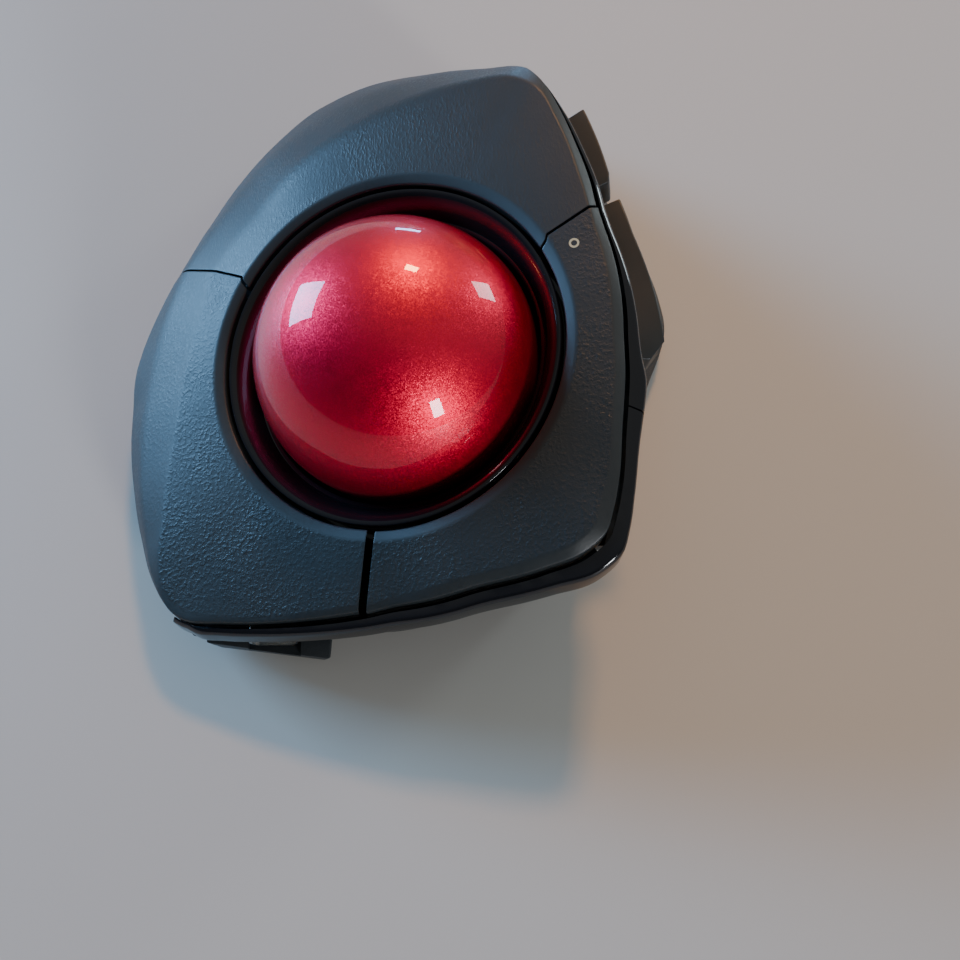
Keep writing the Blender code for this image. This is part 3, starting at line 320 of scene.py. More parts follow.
def rod_work(radius, length, centre, sides=48, work=None):
    """An upright rod, in a bmesh of its own or added to one."""
    work = work or bmesh.new()
    bmesh.ops.create_cone(work, cap_ends=True, segments=sides, radius1=radius, radius2=radius,
                          depth=length, matrix=Matrix.Translation(Vector(centre)))
    return work


def add_piece(name, work, body=None, slot=None, finish=None, nodes=None, smooth=40.0):
    """Turn a bmesh in millimetres into a named piece that rides on a body.

    It replaces the CAD node of its own name, or the nodes given, and has its slot's own material
    unless another is given.
    """
    for vertex in work.verts:
        vertex.co = to_world(vertex.co)
    mesh = bpy.data.meshes.new(name)
    work.to_mesh(mesh)
    work.free()
    mesh.shade_smooth()
    mesh.set_sharp_from_angle(angle=math.radians(smooth))
    mesh.materials.append(finish or FINISHES[slot]())
    made = bpy.data.objects.new(name, mesh)
    bpy.context.scene.collection.objects.link(made)
    if body:
        nodes = (name,) if nodes is None else nodes
        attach(made, body)
        if nodes:
            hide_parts(*nodes)
    return made


def applied(made, smooth=40.0):
    """Make an object's modifiers part of its mesh."""
    bpy.context.view_layer.update()
    evaluated = made.evaluated_get(bpy.context.evaluated_depsgraph_get())
    mesh = bpy.data.meshes.new_from_object(evaluated)
    made.modifiers.clear()
    made.data = mesh
    mesh.shade_smooth()
    mesh.set_sharp_from_angle(angle=math.radians(smooth))
    return made


def combined(made, tool, operation="DIFFERENCE"):
    """Cut a tool's solid out of a piece, or unite them, and remove the tool."""
    work = made.modifiers.new("shape", "BOOLEAN")
    work.operation = operation
    work.solver = "EXACT"
    work.object = tool
    applied(made)
    bpy.data.objects.remove(tool, do_unlink=True)
    return made


def bevelled(made, width, segments=3, angle=50.0, smooth=50.0):
    bevel = made.modifiers.new("edge", "BEVEL")
    bevel.width = width * MM
    bevel.segments = segments
    bevel.limit_method = "ANGLE"
    bevel.angle_limit = math.radians(angle)
    bevel.use_clamp_overlap = True
    return applied(made, smooth)


def guide(work):
    """A tool for combined()."""
    return add_piece("guide", work, finish=gloss_black())


# ---- materials
class Nodes:
    """Short forms for building a material's nodes."""

    def __init__(self, name):
        self.material = bpy.data.materials.new(name)
        self.material.use_nodes = True
        self.tree = self.material.node_tree
        self.shader = self.tree.nodes["Principled BSDF"]

    def add(self, kind, inputs=(), **settings):
        node = self.tree.nodes.new(kind)
        for key, value in settings.items():
            setattr(node, key, value)
        for key, value in dict(inputs).items():
            self.put(node.inputs[key], value)
        return node

    def put(self, socket, value):
        if isinstance(value, bpy.types.NodeSocket):
            self.tree.links.new(value, socket)
        else:
            socket.default_value = value

    def place(self, scale=(1000.0, 1000.0, 1000.0), turn=(0.0, 0.0, 0.0)):
        """Object coordinates in millimetres, stretched and turned."""
        source = self.add("ShaderNodeTexCoord")
        mapping = self.add("ShaderNodeMapping", {"Vector": source.outputs["Object"], "Scale": scale,
                                                 "Rotation": turn})
        return mapping.outputs["Vector"]

    def noise(self, vector, scale, detail=2.0, roughness=0.5):
        node = self.add("ShaderNodeTexNoise", {"Vector": vector, "Scale": scale, "Detail": detail,
                                               "Roughness": roughness})
        return node.outputs["Fac"]

    def voronoi(self, vector, scale, feature="F1"):
        node = self.add("ShaderNodeTexVoronoi", {"Vector": vector, "Scale": scale}, feature=feature)
        return node.outputs["Distance"]

    def maths(self, operation, a, b):
        node = self.add("ShaderNodeMath", operation=operation)
        self.put(node.inputs[0], a)
        self.put(node.inputs[1], b)
        return node.outputs["Value"]

    def spread(self, value, low, high, to_low, to_high):
        node = self.add("ShaderNodeMapRange", {"Value": value, "From Min": low, "From Max": high,
                                               "To Min": to_low, "To Max": to_high})
        return node.outputs["Result"]

    def vary(self, noise, low, high):
        """The middle stretch of a noise, as values from low to high."""
        return self.spread(noise, 0.3, 0.7, low, high)

    def mix(self, share, a, b):
        """Colours are rows of red, green and blue, or sockets."""
        node = self.add("ShaderNodeMix", data_type="RGBA")
        self.put(node.inputs["Factor"], share)
        for socket, colour in ((node.inputs[6], a), (node.inputs[7], b)):
            self.put(socket, colour if isinstance(colour, bpy.types.NodeSocket) else (*colour, 1.0))
        return node.outputs[2]

    def bump(self, height, depth):
        """Depth is in millimetres."""
        node = self.add("ShaderNodeBump", {"Height": height, "Distance": depth * MM,
                                           "Strength": 1.0})
        return node.outputs["Normal"]

    def attribute(self, name):
        return self.add("ShaderNodeAttribute", attribute_name=name).outputs["Fac"]

    def finish(self, **inputs):
        for key, value in inputs.items():
            self.put(self.shader.inputs[key.replace("_", " ")], value)
        return self.material


FINISHES = {}                        # material makers by name; a slot's maker has the slot's name


def once(maker):
    """A material maker that makes its material the first time only."""
    made = []

    def give():
        if not made:
            made.append(maker())
        return made[0]

    FINISHES[maker.__name__] = give
    return give


def grained_charcoal(name, cell, depth, stretch):
    """Moulded grain of small random bumps, which fades out where the surface's grain value is 0."""
    n = Nodes(name)
    base = n.place(tuple(1000.0 * s for s in stretch))
    bumps = n.spread(n.noise(base, 1.0 / cell, 2.5, 0.55), 0.44, 0.66, 0.0, 1.0)
    cells = n.spread(n.voronoi(base, 0.9 / cell, feature="SMOOTH_F1"), 0.15, 0.7, 1.0, 0.0)
    patches = n.spread(n.noise(n.place(), 0.11, 2.0), 0.35, 0.65, 0.45, 1.0)
    raised = n.maths("MULTIPLY", n.maths("ADD", bumps, n.maths("MULTIPLY", cells, 0.35)), patches)
    height = n.maths("MULTIPLY", raised, n.attribute("grain"))
    silk = n.noise(n.place(), 9.0, 2.0)
    height = n.maths("ADD", height, n.maths("MULTIPLY", silk, 0.12))
    tone = n.vary(n.noise(n.place(), 0.12, 3.0), 0.0, 1.0)
    colour = n.mix(tone, (0.014, 0.019, 0.022), (0.018, 0.023, 0.026))
    return n.finish(Base_Color=colour, Normal=n.bump(height, depth),
                    Roughness=n.spread(raised, 0.2, 1.3, 0.48, 0.38))


@once
def charcoal_plastic():
    """Plain satin charcoal of the thumb-side keys."""
    n = Nodes("charcoal_satin")
    fine = n.noise(n.place(), 7.0, 3.0)
    tone = n.vary(n.noise(n.place(), 0.2), 0.0, 1.0)
    colour = n.mix(tone, (0.014, 0.019, 0.022), (0.018, 0.023, 0.026))
    return n.finish(Base_Color=colour, Roughness=n.vary(fine, 0.36, 0.46),
                    Normal=n.bump(fine, 0.012))


@once
def case_plastic():
    """Spark-eroded satin black of the case."""
    n = Nodes("case_satin")
    pits = n.voronoi(n.place(), 3.4)
    fine = n.noise(n.place(), 6.0, 3.0)
    height = n.maths("ADD", n.spread(pits, 0.0, 0.8, 0.0, 1.0), fine)
    tone = n.vary(n.noise(n.place(), 0.15), 0.0, 1.0)
    colour = n.mix(tone, (0.011, 0.014, 0.017), (0.015, 0.018, 0.021))
    return n.finish(Base_Color=colour, Roughness=n.vary(fine, 0.4, 0.5),
                    Normal=n.bump(height, 0.02))


@once
def gloss_black():
    """Polished black, with handling haze and a few hairline scratches."""
    n = Nodes("gloss_black_polished")
    haze = n.noise(n.place(), 0.25, 4.0, 0.6)
    hair = n.noise(n.place((300.0, 9000.0, 4000.0), (0.2, 0.3, 0.7)), 1.0, 2.0)
    scratch = n.spread(hair, 0.66, 0.72, 0.0, 0.12)
    rough = n.maths("ADD", n.spread(haze, 0.35, 0.7, 0.06, 0.13), scratch)
    return n.finish(Base_Color=(0.006, 0.006, 0.008, 1.0), Roughness=rough,
                    Normal=n.bump(n.noise(n.place(), 0.5), 0.01))


@once
def ball_red():
    """Candy red: fine metal flakes under a clear coat."""
    n = Nodes("ball_candy_red")
    flakes = n.add("ShaderNodeTexVoronoi", {"Vector": n.place(), "Scale": 9.0})
    normal = n.add("ShaderNodeNewGeometry").outputs["Normal"]
    centred = n.add("ShaderNodeVectorMath", {0: flakes.outputs["Color"], 1: (0.5, 0.5, 0.5)},
                    operation="SUBTRACT")
    tilt = n.add("ShaderNodeVectorMath", {0: centred.outputs["Vector"], 1: (0.24, 0.24, 0.24)},
                 operation="MULTIPLY")
    tipped = n.add("ShaderNodeVectorMath", {0: normal, 1: tilt.outputs["Vector"]}, operation="ADD")
    facing = n.add("ShaderNodeVectorMath", {0: tipped.outputs["Vector"]}, operation="NORMALIZE")
    split = n.add("ShaderNodeSeparateColor", {"Color": flakes.outputs["Color"]})
    cloud = n.noise(n.place(), 0.12, 2.0)
    deep = n.mix(cloud, (0.72, 0.0, 0.018), (0.85, 0.0, 0.045))
    colour = n.mix(n.maths("MULTIPLY", split.outputs["Red"], 0.3), deep, (1.0, 0.004, 0.10))
    rough = n.vary(n.noise(n.place(), 0.6, 3.0), 0.40, 0.46)
    return n.finish(Base_Color=colour, Metallic=0.9, Roughness=rough, Coat_Weight=1.0,
                    Coat_Roughness=0.012, Coat_IOR=1.42, Normal=facing.outputs["Vector"])


@once
def steel():
    n = Nodes("steel_plain")
    brushed = n.noise(n.place((400.0, 6000.0, 6000.0)), 1.0, 3.0)
    blotch = n.noise(n.place(), 0.4, 3.0)
    colour = n.mix(blotch, (0.52, 0.52, 0.51), (0.66, 0.66, 0.64))
    return n.finish(Base_Color=colour, Metallic=1.0, Roughness=n.vary(brushed, 0.22, 0.36),
                    Normal=n.bump(brushed, 0.01))


@once
def rubber():
    n = Nodes("rubber_matt")
    fine = n.noise(n.place(), 4.0, 5.0, 0.65)
    colour = n.mix(n.noise(n.place(), 0.5), (0.012, 0.012, 0.012), (0.022, 0.022, 0.021))
    return n.finish(Base_Color=colour, Roughness=n.vary(fine, 0.68, 0.85),
                    Normal=n.bump(fine, 0.05))


@once
def board_green():
    """Solder mask over raised copper tracks."""
    n = Nodes("board_mask")
    tracks = n.add("ShaderNodeTexBrick", {"Vector": n.place(), "Scale": 0.45, "Mortar Size": 0.06,
                                          "Color1": (0.0, 0.0, 0.0, 1.0), "Color2": (0.0, 0.0, 0.0, 1.0),
                                          "Mortar": (1.0, 1.0, 1.0, 1.0)})
    share = n.add("ShaderNodeRGBToBW", {"Color": tracks.outputs["Color"]}).outputs["Val"]
    colour = n.mix(share, (0.012, 0.09, 0.035), (0.03, 0.2, 0.08))
    return n.finish(Base_Color=colour, Roughness=n.vary(n.noise(n.place(), 2.0), 0.3, 0.42),
                    Normal=n.bump(share, 0.03))


@once
def white_plastic():
    n = Nodes("white_moulded")
    fine = n.noise(n.place(), 5.0, 3.0)
    colour = n.mix(n.noise(n.place(), 0.5), (0.62, 0.62, 0.60), (0.70, 0.70, 0.68))
    return n.finish(Base_Color=colour, Roughness=n.vary(fine, 0.36, 0.48),
                    Normal=n.bump(fine, 0.01))


@once
def ruby():
    n = Nodes("ruby_polished")
    cloud = n.noise(n.place(), 1.2, 2.0)
    colour = n.mix(cloud, (0.45, 0.005, 0.04), (0.62, 0.015, 0.08))
    return n.finish(Base_Color=colour, Roughness=n.vary(cloud, 0.03, 0.07),
                    Transmission_Weight=0.4, IOR=1.76)


@once
def clear_lens():
    n = Nodes("lens_clear")
    haze = n.noise(n.place(), 1.0, 2.0)
    return n.finish(Base_Color=(0.9, 0.93, 0.95, 1.0), Roughness=n.vary(haze, 0.02, 0.06),
                    Transmission_Weight=0.9, IOR=1.49)


@once
def battery_wrap():
    """Printed sleeve in two plain colours."""
    n = Nodes("battery_sleeve")
    x = n.add("ShaderNodeSeparateXYZ", {"Vector": n.place()}).outputs["X"]
    band = n.spread(x, 14.0, 14.2, 0.0, 1.0)
    colour = n.mix(band, (0.05, 0.11, 0.2), (0.55, 0.38, 0.16))
    rough = n.vary(n.noise(n.place(), 1.0, 3.0), 0.25, 0.38)
    return n.finish(Base_Color=colour, Roughness=rough, Normal=n.bump(n.noise(n.place(), 0.8), 0.02))


@once
def legend_ink():
    n = Nodes("legend_ink")
    speck = n.noise(n.place(), 5.0, 3.0)
    colour = n.mix(speck, (0.50, 0.40, 0.22), (0.66, 0.55, 0.34))
    return n.finish(Base_Color=colour, Roughness=n.vary(speck, 0.4, 0.55))


# ---- top panels
def panel_path(angle):
    """Corners of the top's outer surface at one angle: ring skirt to lower edge."""
    inner, outer = inner_edge(angle), outer_edge(angle)
    path = [
        ring_point(angle, RING_GAP_RADIUS, RING_GAP_LIFT - RING_SKIRT),
        ring_point(angle, RING_GAP_RADIUS, RING_GAP_LIFT),
        ring_point(angle, RING_LAND_RADIUS, RING_LAND_LIFT),
        polar(angle, *inner),
        polar(angle, *outer)]
    skirt = [polar(angle, outer[0] - 0.05, outer[1] - PANEL_SKIRT / 2),
             polar(angle, outer[0] - 0.1, outer[1] - PANEL_SKIRT)]
    turned = turned_angle(angle)
    if turned < -136.2 or turned > REAR_CORNER:
        share = blend_between(turned, REAR_CORNER, 64.6) if turned > 0 else 1.0
        side = [polar(angle, *flank(angle)), polar(angle, *(hem(angle) - (HEM_INSET, 0.0)))]
        skirt = [low.lerp(high, share) for low, high in zip(skirt, side)]
    return path + skirt


def grain_at(code, angle):
    """Strength of the grain on the panel: none on the ring's land, little on the bevels."""
    turned = turned_angle(angle)
    beyond = 0.1
    if 60.0 < turned < 150.0:
        beyond = 0.1 + 0.9 * blend_between(turned, 60.0, 72.0)
        beyond *= 1.0 - 0.7 * blend_between(turned, 125.0, 150.0)
    elif turned >= 150.0 or turned < -150.0:
        beyond = 0.3
    if code < 2.3:
        return blend_between(code, 1.95, 2.3)
    if code < 2.75:
        return 1.0
    return 1.0 + (beyond - 1.0) * blend_between(code, 2.75, 3.2)


def panel_column(angle_of_row, rows_at):
    """Outer points, inner points and grain of one column; its angle may change from row to row."""
    outside, inside, grain = [], [], []
    for row, code in enumerate(rows_at(angle_of_row(0.0))[2]):
        angle = angle_of_row(code)
        points, backs, codes = rows_at(angle)
        outside.append(points[row])
        inside.append(backs[row])
        grain.append(grain_at(codes[row], angle))
    return outside, inside, grain


def section_reader():
    """Rounded section and its inner side by angle, kept so that each is worked out once."""
    known = {}

    def read(angle):
        key = round(angle, 4)
        if key not in known:
            path = panel_path(angle)
            cuts = (0.3, 0.35, *softness(angle))
            rows = filleted(path, cuts)
            backs = filleted(offset_path(path, angle, PANEL_WALL), tuple(cut * 0.3 for cut in cuts))
            known[key] = ([point for point, _ in rows], [point for point, _ in backs],
                          [code for _, code in rows])
        return known[key]

    return read


def seam(angle, bend):
    """Angle of a seam by the section's code: bent near the ring."""
    return lambda code: angle + bend * (1.0 - blend_between(code, 1.0, 2.7))


def column_angles(start, end, step=1.2):
    count = round((end - start) / step)
    shares = [n / count for n in range(count + 1)]
    edge = 0.3 / count
    return [0.0, edge, *shares[1:-1], 1.0 - edge, 1.0]


def shift_round(point, distance):
    radial = Vector((point.x, point.y, 0.0)).normalized()
    return point + Vector((-radial.y, radial.x, 0.0)) * distance


def make_panel(name, body, finish, first, last, gaps):
    """One sector of the top between two seams."""
    read = section_reader()
    face, back, grains = [], [], []
    for share in column_angles(first(3.0), last(3.0)):
        outside, inside, grain = panel_column(
            lambda code: first(code) + (last(code) - first(code)) * share, read)
        near_first = 1 - blend_between(share, 0.0, 0.2)
        near_last = 1 - blend_between(1 - share, 0.0, 0.2)
        side = gaps[0] / 2 * near_first - gaps[1] / 2 * near_last
        draft = SEAM_DRAFT * (near_first - near_last)
        face.append([shift_round(point, side + draft * max(0.0, 1.0 - row / SKIRT_ROWS))
                     for row, point in enumerate(outside)])
        back.append([shift_round(point, side + draft) for point in inside])
        grains.append(grain)
    made = add_piece(name, slab(face, back), body, "charcoal_plastic", finish)
    layer = made.data.attributes.new("grain", "FLOAT", "POINT")
    values = [value for column in grains for value in column]
    layer.data.foreach_set("value", values + [0.0] * (len(made.data.vertices) - len(values)))
    return bevelled(made, 0.16, 2, angle=58.0)


def make_top():
    """Palm cover, right button and Fn1 button, round from seam to seam."""
    palm_grain = grained_charcoal("charcoal_palm_grain", 0.45, 0.022, (1.35, 0.5, 0.8))
    button_grain = grained_charcoal("charcoal_button_grain", 0.55, 0.05, (1.0, 1.0, 1.0))
    front, thumb, right = seam(FRONT_SEAM, 0.0), seam(THUMB_SEAM, -3.0), seam(RIGHT_SEAM, 2.6)
    make_panel("palm_cover", "case", palm_grain, thumb, right, (THIN_GAP, THIN_GAP))
    make_panel("right_button", "right_button_body", button_grain, right,
               lambda code: 360.0 + front(code), (THIN_GAP, FRONT_GAP))
    make_panel("fn1_button", "fn1_button_body", button_grain, front, thumb, (FRONT_GAP, THIN_GAP))


def make_legend():
    """A plain printed ring in place of a word, near the thumb-side seam."""
    inner, land = inner_edge(20.0), ring_point(20.0, RING_LAND_RADIUS, RING_LAND_LIFT)
    centre = land.lerp(polar(20.0, *inner), 0.45)
    towards = (polar(20.0, *inner) - land).normalized()
    sideways = (polar(21.0, *inner_edge(21.0)) - polar(19.0, *inner_edge(19.0))).normalized()
    normal = towards.cross(sideways).normalized()
    ring = turned_work([(0.45, 0.0), (0.45, 0.06), (0.75, 0.06), (0.75, 0.0)], centre - normal * 0.01,
                       normal, sides=40)
    add_piece("function_mark", ring, "fn1_button_body", "white_plastic", legend_ink(), ())


# ---- band
def band_section(angle):
    edge, height = outer_edge(angle)
    taper = blend_between(angle, BAND_START - 1.0, BAND_START + 7.0)
    reach = max(LEAST_REACH, float(band_overhang(angle)[0]) * taper)
    inner = min(0.75, reach - 0.7)
    profile = ((inner, -1.0), (reach - 0.4, -1.25), (reach, -1.9), (reach - 0.1, -5.2),
               (reach - 0.4, -6.0), (inner, -6.0))
    corners = [polar(angle, edge + out, height + up) for out, up in profile]
    rows = filleted([corners[0], *corners, corners[-1]], (0.05, 0.3, 0.6, 0.5, 0.25, 0.05), 3)
    return [point for point, _ in rows[1:-1]]


def make_band():
    """Two lengths that meet on the thumb side, with a column about every degree."""
    lengths = (("side_band", BAND_START, BAND_SPLIT), ("side_band_rear", BAND_SPLIT, BAND_END))
    for name, start, end in lengths:
        count = round(end - start)
        angles = [start + (end - start) * n / count for n in range(count + 1)]
        if start == BAND_SPLIT:
            angles[0] += BAND_JOINT
        sections = [band_section(angle) for angle in angles]
        add_piece(name, loft(sections), "case", "gloss_black", nodes=("side_band",), smooth=55.0)


# ---- ball and socket
def make_ball():
    work = bmesh.new()
    bmesh.ops.create_uvsphere(work, u_segments=128, v_segments=64, radius=BALL_RADIUS,
                              matrix=Matrix.Translation(BALL_CENTRE))
    add_piece("ball", work, "rolling_ball", "ball_red", smooth=80.0)


CUP_INSIDE = BALL_RADIUS + 0.7
CUP_OUTSIDE = BALL_RADIUS + 2.0


def make_socket():
    """Rim, funnel, step and cup of the gloss ring, with the hole under the ball."""
    arc = [math.radians(a) for a in range(10, 70, 4)]
    inside = [(CUP_INSIDE * math.cos(a), -CUP_INSIDE * math.sin(a)) for a in arc]
    outside = [(CUP_OUTSIDE * math.cos(a), -CUP_OUTSIDE * math.sin(a)) for a in reversed(arc)]
    rim = [(26.45, 4.9), (26.42, 5.15), (26.3, 5.28), (26.05, 5.3), (25.7, 5.2), (25.3, 4.96),
           (24.92, 4.6), (24.55, 4.15), (24.2, 3.62)]
    funnel = [(23.88, 3.0), (23.6, 2.35), (23.38, 1.8), (23.2, 1.4), (22.75, 1.25), (22.6, 1.1),
              (22.55, 0.6), (22.55, 0.0)]
    flange = [(24.3, -3.1), (29.0, -3.2), (29.0, -1.6), (25.2, -1.6), (26.45, 1.5)]
    work = turned_work(rim + funnel + inside + outside + flange, BALL_CENTRE, RING_NORMAL, sides=160)
    made = add_piece("ball_socket", work, "case", "gloss_black")
    combined(made, guide(rod_work(8.0, 14.0, (0.0, 0.0, 4.0))))


# ---- thumb side
THUMB_START = -45.0
THUMB_END = 83.0
FORWARD_WINDOW = (-5, 37, 0.05, 0.24)
BACK_WINDOW = (40.5, 57.5, 0.05, 0.24)
WHEEL_WINDOW = (16.5, 46, 0.31, 0.56)
LEFT_WINDOW = (-35, 12, 0.31, 0.78)
FN2_WINDOW = (50, 61, 0.31, 0.56)
WHEEL_ANGLE = 32.0
WHEEL_FALL = 0.425
WHEEL_RADIUS = 10.0
WHEEL_WIDTH = 6.0
WHEEL_STAND = 3.6                    # how far the wheel stands out of the panel


def thumb_top(angle):
    outer = outer_edge(angle)
    under_band = polar(angle, outer[0] + 1.7, outer[1] - 7.0)
    edge = hem(max(angle, 64.0))
    under_cover = polar(angle, edge[0] - 0.3, edge[1] - 2.0)
    return under_band.lerp(under_cover, blend_between(angle, 59.0, 63.0))


def thumb_surface(angle, fall):
    """Point of the thumb side: fall is 0 at its top edge and 1 at its foot."""
    top = thumb_top(angle)
    foot = polar(angle, base_outline(angle)[0] + 0.34, 4.3)
    hollow = 0.06 * (top - foot).length * math.sin(math.pi * fall)
    return top.lerp(foot, fall) + polar(angle, -1.0, 0.0) * hollow


def thumb_normal(angle, fall):
    along = thumb_surface(angle + 1, fall) - thumb_surface(angle - 1, fall)
    down = thumb_surface(angle, min(fall + 0.02, 1)) - thumb_surface(angle, max(fall - 0.02, 0))
    return down.cross(along).normalized()


def window_size(window):
    first, last, high, low = window
    middle_angle, middle_fall = (first + last) / 2, (high + low) / 2
    length = (thumb_surface(last, middle_fall) - thumb_surface(first, middle_fall)).length
    width = (thumb_surface(middle_angle, low) - thumb_surface(middle_angle, high)).length
    return length, width


def window_point(window, u, v, stand):
    """Point u mm along and v mm down from a window's first corner, off the surface by stand."""
    first, last, high, low = window
    length, width = window_size(window)
    angle = first + (last - first) * u / length
    fall = high + (low - high) * v / width
    return thumb_surface(angle, fall) + thumb_normal(angle, fall) * stand


def window_loop(window, inset, corner, stand):
    """Rounded rectangle inside a window, as points.

    Stand is a function of the shares along and down.
    """
    per_corner, per_side = 6, 10
    length, width = window_size(window)
    radius = max(0.05, corner - inset)
    left, right = inset, length - inset
    top, bottom = inset, width - inset
    radius = min(radius, (right - left) / 2 - 0.01, (bottom - top) / 2 - 0.01)
    outline = []
    corners = ((right - radius, top + radius, -90), (right - radius, bottom - radius, 0),
               (left + radius, bottom - radius, 90), (left + radius, top + radius, 180))
    for number, (cu, cv, start) in enumerate(corners):
        for step in range(per_corner + 1):
            turn = math.radians(start + 90.0 * step / per_corner)
            outline.append((cu + radius * math.cos(turn), cv + radius * math.sin(turn)))
        following = corners[(number + 1) % 4]
        turn = math.radians(following[2])
        goal = (following[0] + radius * math.cos(turn), following[1] + radius * math.sin(turn))
        here = outline[-1]
        for step in range(1, per_side):
            t = step / per_side
            outline.append((here[0] + (goal[0] - here[0]) * t, here[1] + (goal[1] - here[1]) * t))
    return [window_point(window, u, v, stand(u / length, v / width)) for u, v in outline]


def window_cutter(window, corner):
    """Tool that cuts a window's opening through the panel, from well outside to well inside."""
    stands = (6.0, 2.0, -2.5, -6.0)
    return guide(loft([window_loop(window, 0.0, corner, lambda along, down, stand=stand: stand)
                       for stand in stands]))


def make_thumb_key(name, window, body, corner, rise, depth, edge=0.3):
    """A key in a window: straight sides, a rounded edge and a face that stands off by rise."""
    gap = 0.4
    sections = [window_loop(window, gap, corner, lambda along, down: -depth)]
    for share in (0.0, 0.25, 0.5, 0.75, 1.0):
        turn = share * math.pi / 2
        sections.append(window_loop(window, gap + edge * (1 - math.cos(turn)), corner,
                                    lambda along, down, t=turn: rise(along, down) - edge * (1 - math.sin(t))))
    reach = min(window_size(window)) / 2 - 0.25
    steps = 7
    for step in range(1, steps + 1):
        inset = gap + edge + (reach - gap - edge) * step / steps
        sections.append(window_loop(window, inset, corner, rise))
    add_piece(name, loft(sections), body, "charcoal_plastic", smooth=35.0)


def make_thumb_panel():
    angles = np.linspace(THUMB_START, THUMB_END, 129)
    falls = [0.0, 0.012, 0.03, *np.linspace(0.06, 0.97, 34), 0.985, 1.0]
    face = [[thumb_surface(a, f) for f in falls] for a in angles]
    back = [[thumb_surface(a, f) - thumb_normal(a, f) * CASE_WALL for f in falls] for a in angles]
    made = add_piece("thumb_panel", slab(face, back), "case", "case_plastic")
    for window, corner in ((FORWARD_WINDOW, 0.6), (BACK_WINDOW, 0.6), (WHEEL_WINDOW, 1.6),
                           (LEFT_WINDOW, 2.6), (FN2_WINDOW, 1.6)):
        combined(made, window_cutter(window, corner))
    bevelled(made, 0.22, 2, angle=60.0)


def swell(along, down):
    """1 in the middle of a key and 0 round its edge."""
    return math.sin(math.pi * along) * math.sin(math.pi * down)


def make_thumb_keys():
    make_thumb_key("forward_button", FORWARD_WINDOW, "forward_button_body", 0.55,
                   lambda along, down: min(6.2 - 1.9 * along, 3.4 + 22.0 * along) - 0.8 * down, 1.4)
    make_thumb_key("back_button", BACK_WINDOW, "back_button_body", 0.55,
                   lambda along, down: min(4.2 + 1.5 * along, 3.6 + 6.0 * along) - 0.8 * down, 1.4)
    make_thumb_key("left_button", LEFT_WINDOW, "left_button_body", 2.4,
                   lambda along, down: 0.55 - 0.45 * swell(along, down), 1.6, 0.5)
    make_thumb_key("fn2_button", FN2_WINDOW, "fn2_button_body", 1.4,
                   lambda along, down: 0.7 + 0.25 * swell(along, down), 1.1, 0.5)


def mirrored(profile):
    """The other half of a (radius, height) profile, from its middle back to its start."""
    return [(radius, -height) for radius, height in reversed(profile)]


def wheel_frame():
    """Centre and axle direction of the scroll wheel."""
    seat = thumb_surface(WHEEL_ANGLE, WHEEL_FALL)
    outward = thumb_normal(WHEEL_ANGLE, WHEEL_FALL)
    sideways = Vector((-math.sin(math.radians(WHEEL_ANGLE)), math.cos(math.radians(WHEEL_ANGLE)), 0.0))
    sideways = (sideways - outward * sideways.dot(outward)).normalized()
    return seat - outward * (WHEEL_RADIUS - WHEEL_STAND), outward.cross(sideways)


def make_wheel():
    """Ribbed rubber tyre on a hub with a raised rim."""
    centre, axle = wheel_frame()
    half = WHEEL_WIDTH / 2
    edge = [(7.9, -half + 0.25), (8.4, -half + 0.1), (9.2, -half), (9.65, -half + 0.25),
            (9.8, -half + 0.8), (9.86, -1.0)]
    profile = [*edge, (9.88, 0.0), *mirrored(edge)]
    ribs, per_rib = 40, 6
    place = Matrix.Translation(centre) @ axes_to(axle)
    sections = []
    for step in range(ribs * per_rib):
        turn = 2 * math.pi * step / (ribs * per_rib)
        groove = 0.22 * (0.5 - 0.5 * math.cos(2 * math.pi * step / per_rib))
        loop = []
        for radius, height in profile:
            share = blend_between(radius, 8.6, 9.6) * (1 - blend_between(abs(height), 1.9, 2.8))
            reach = radius - groove * share
            loop.append(place @ Vector((reach * math.cos(turn), reach * math.sin(turn), height)))
        sections.append(loop)
    add_piece("wheel_tyre", loft(sections, closed=True), "scroll_wheel", "rubber", smooth=50.0)
    face = [(2.4, 1.7), (2.6, 0.9), (5.6, 0.9), (6.0, 1.2), (6.2, 2.5), (6.5, 2.6), (7.4, 2.6),
            (7.6, 2.4)]
    hub = turned_work([(1.4, -1.6), (1.4, 1.6), *face, *mirrored(face)], centre, axle)
    add_piece("wheel_hub", hub, "scroll_wheel", "case_plastic")


# ---- base
POSTS = ((-38.0, -2.0), (20.5, -20.0), (-16.0, 63.0), (19.0, 61.0))
POWER_PLACE = (-22.0, -18.0)
MODE_PLACE = (18.0, 25.5)
PAIRING_PLACE = (-22.0, 22.0)
BATTERY_CENTRE = Vector((0.8, 44.8, 11.6))
BAY_LENGTH = 54.0
BAY_WIDTH = 17.0
SLIDER_SLOT = 8.0
SLIDER_TRAVEL = 3.8
FEET = ((-29.0, -27.0), (25.0, -7.0), (36.0, 38.0), (-38.0, 22.0), (0.0, 74.0))
PORT_X = -19.8
PORT_HEIGHT = 6.6
HOOD_POINTS = ((-29.0, -38.3, 3.6), (-12.0, -40.6, 3.6), (-30.6, -38.2, 5.8), (-11.0, -41.0, 5.8),
               (-30.8, -34.4, 7.0), (-10.6, -35.4, 7.2), (-27.5, -34.4, 3.0), (-13.0, -35.4, 3.0))


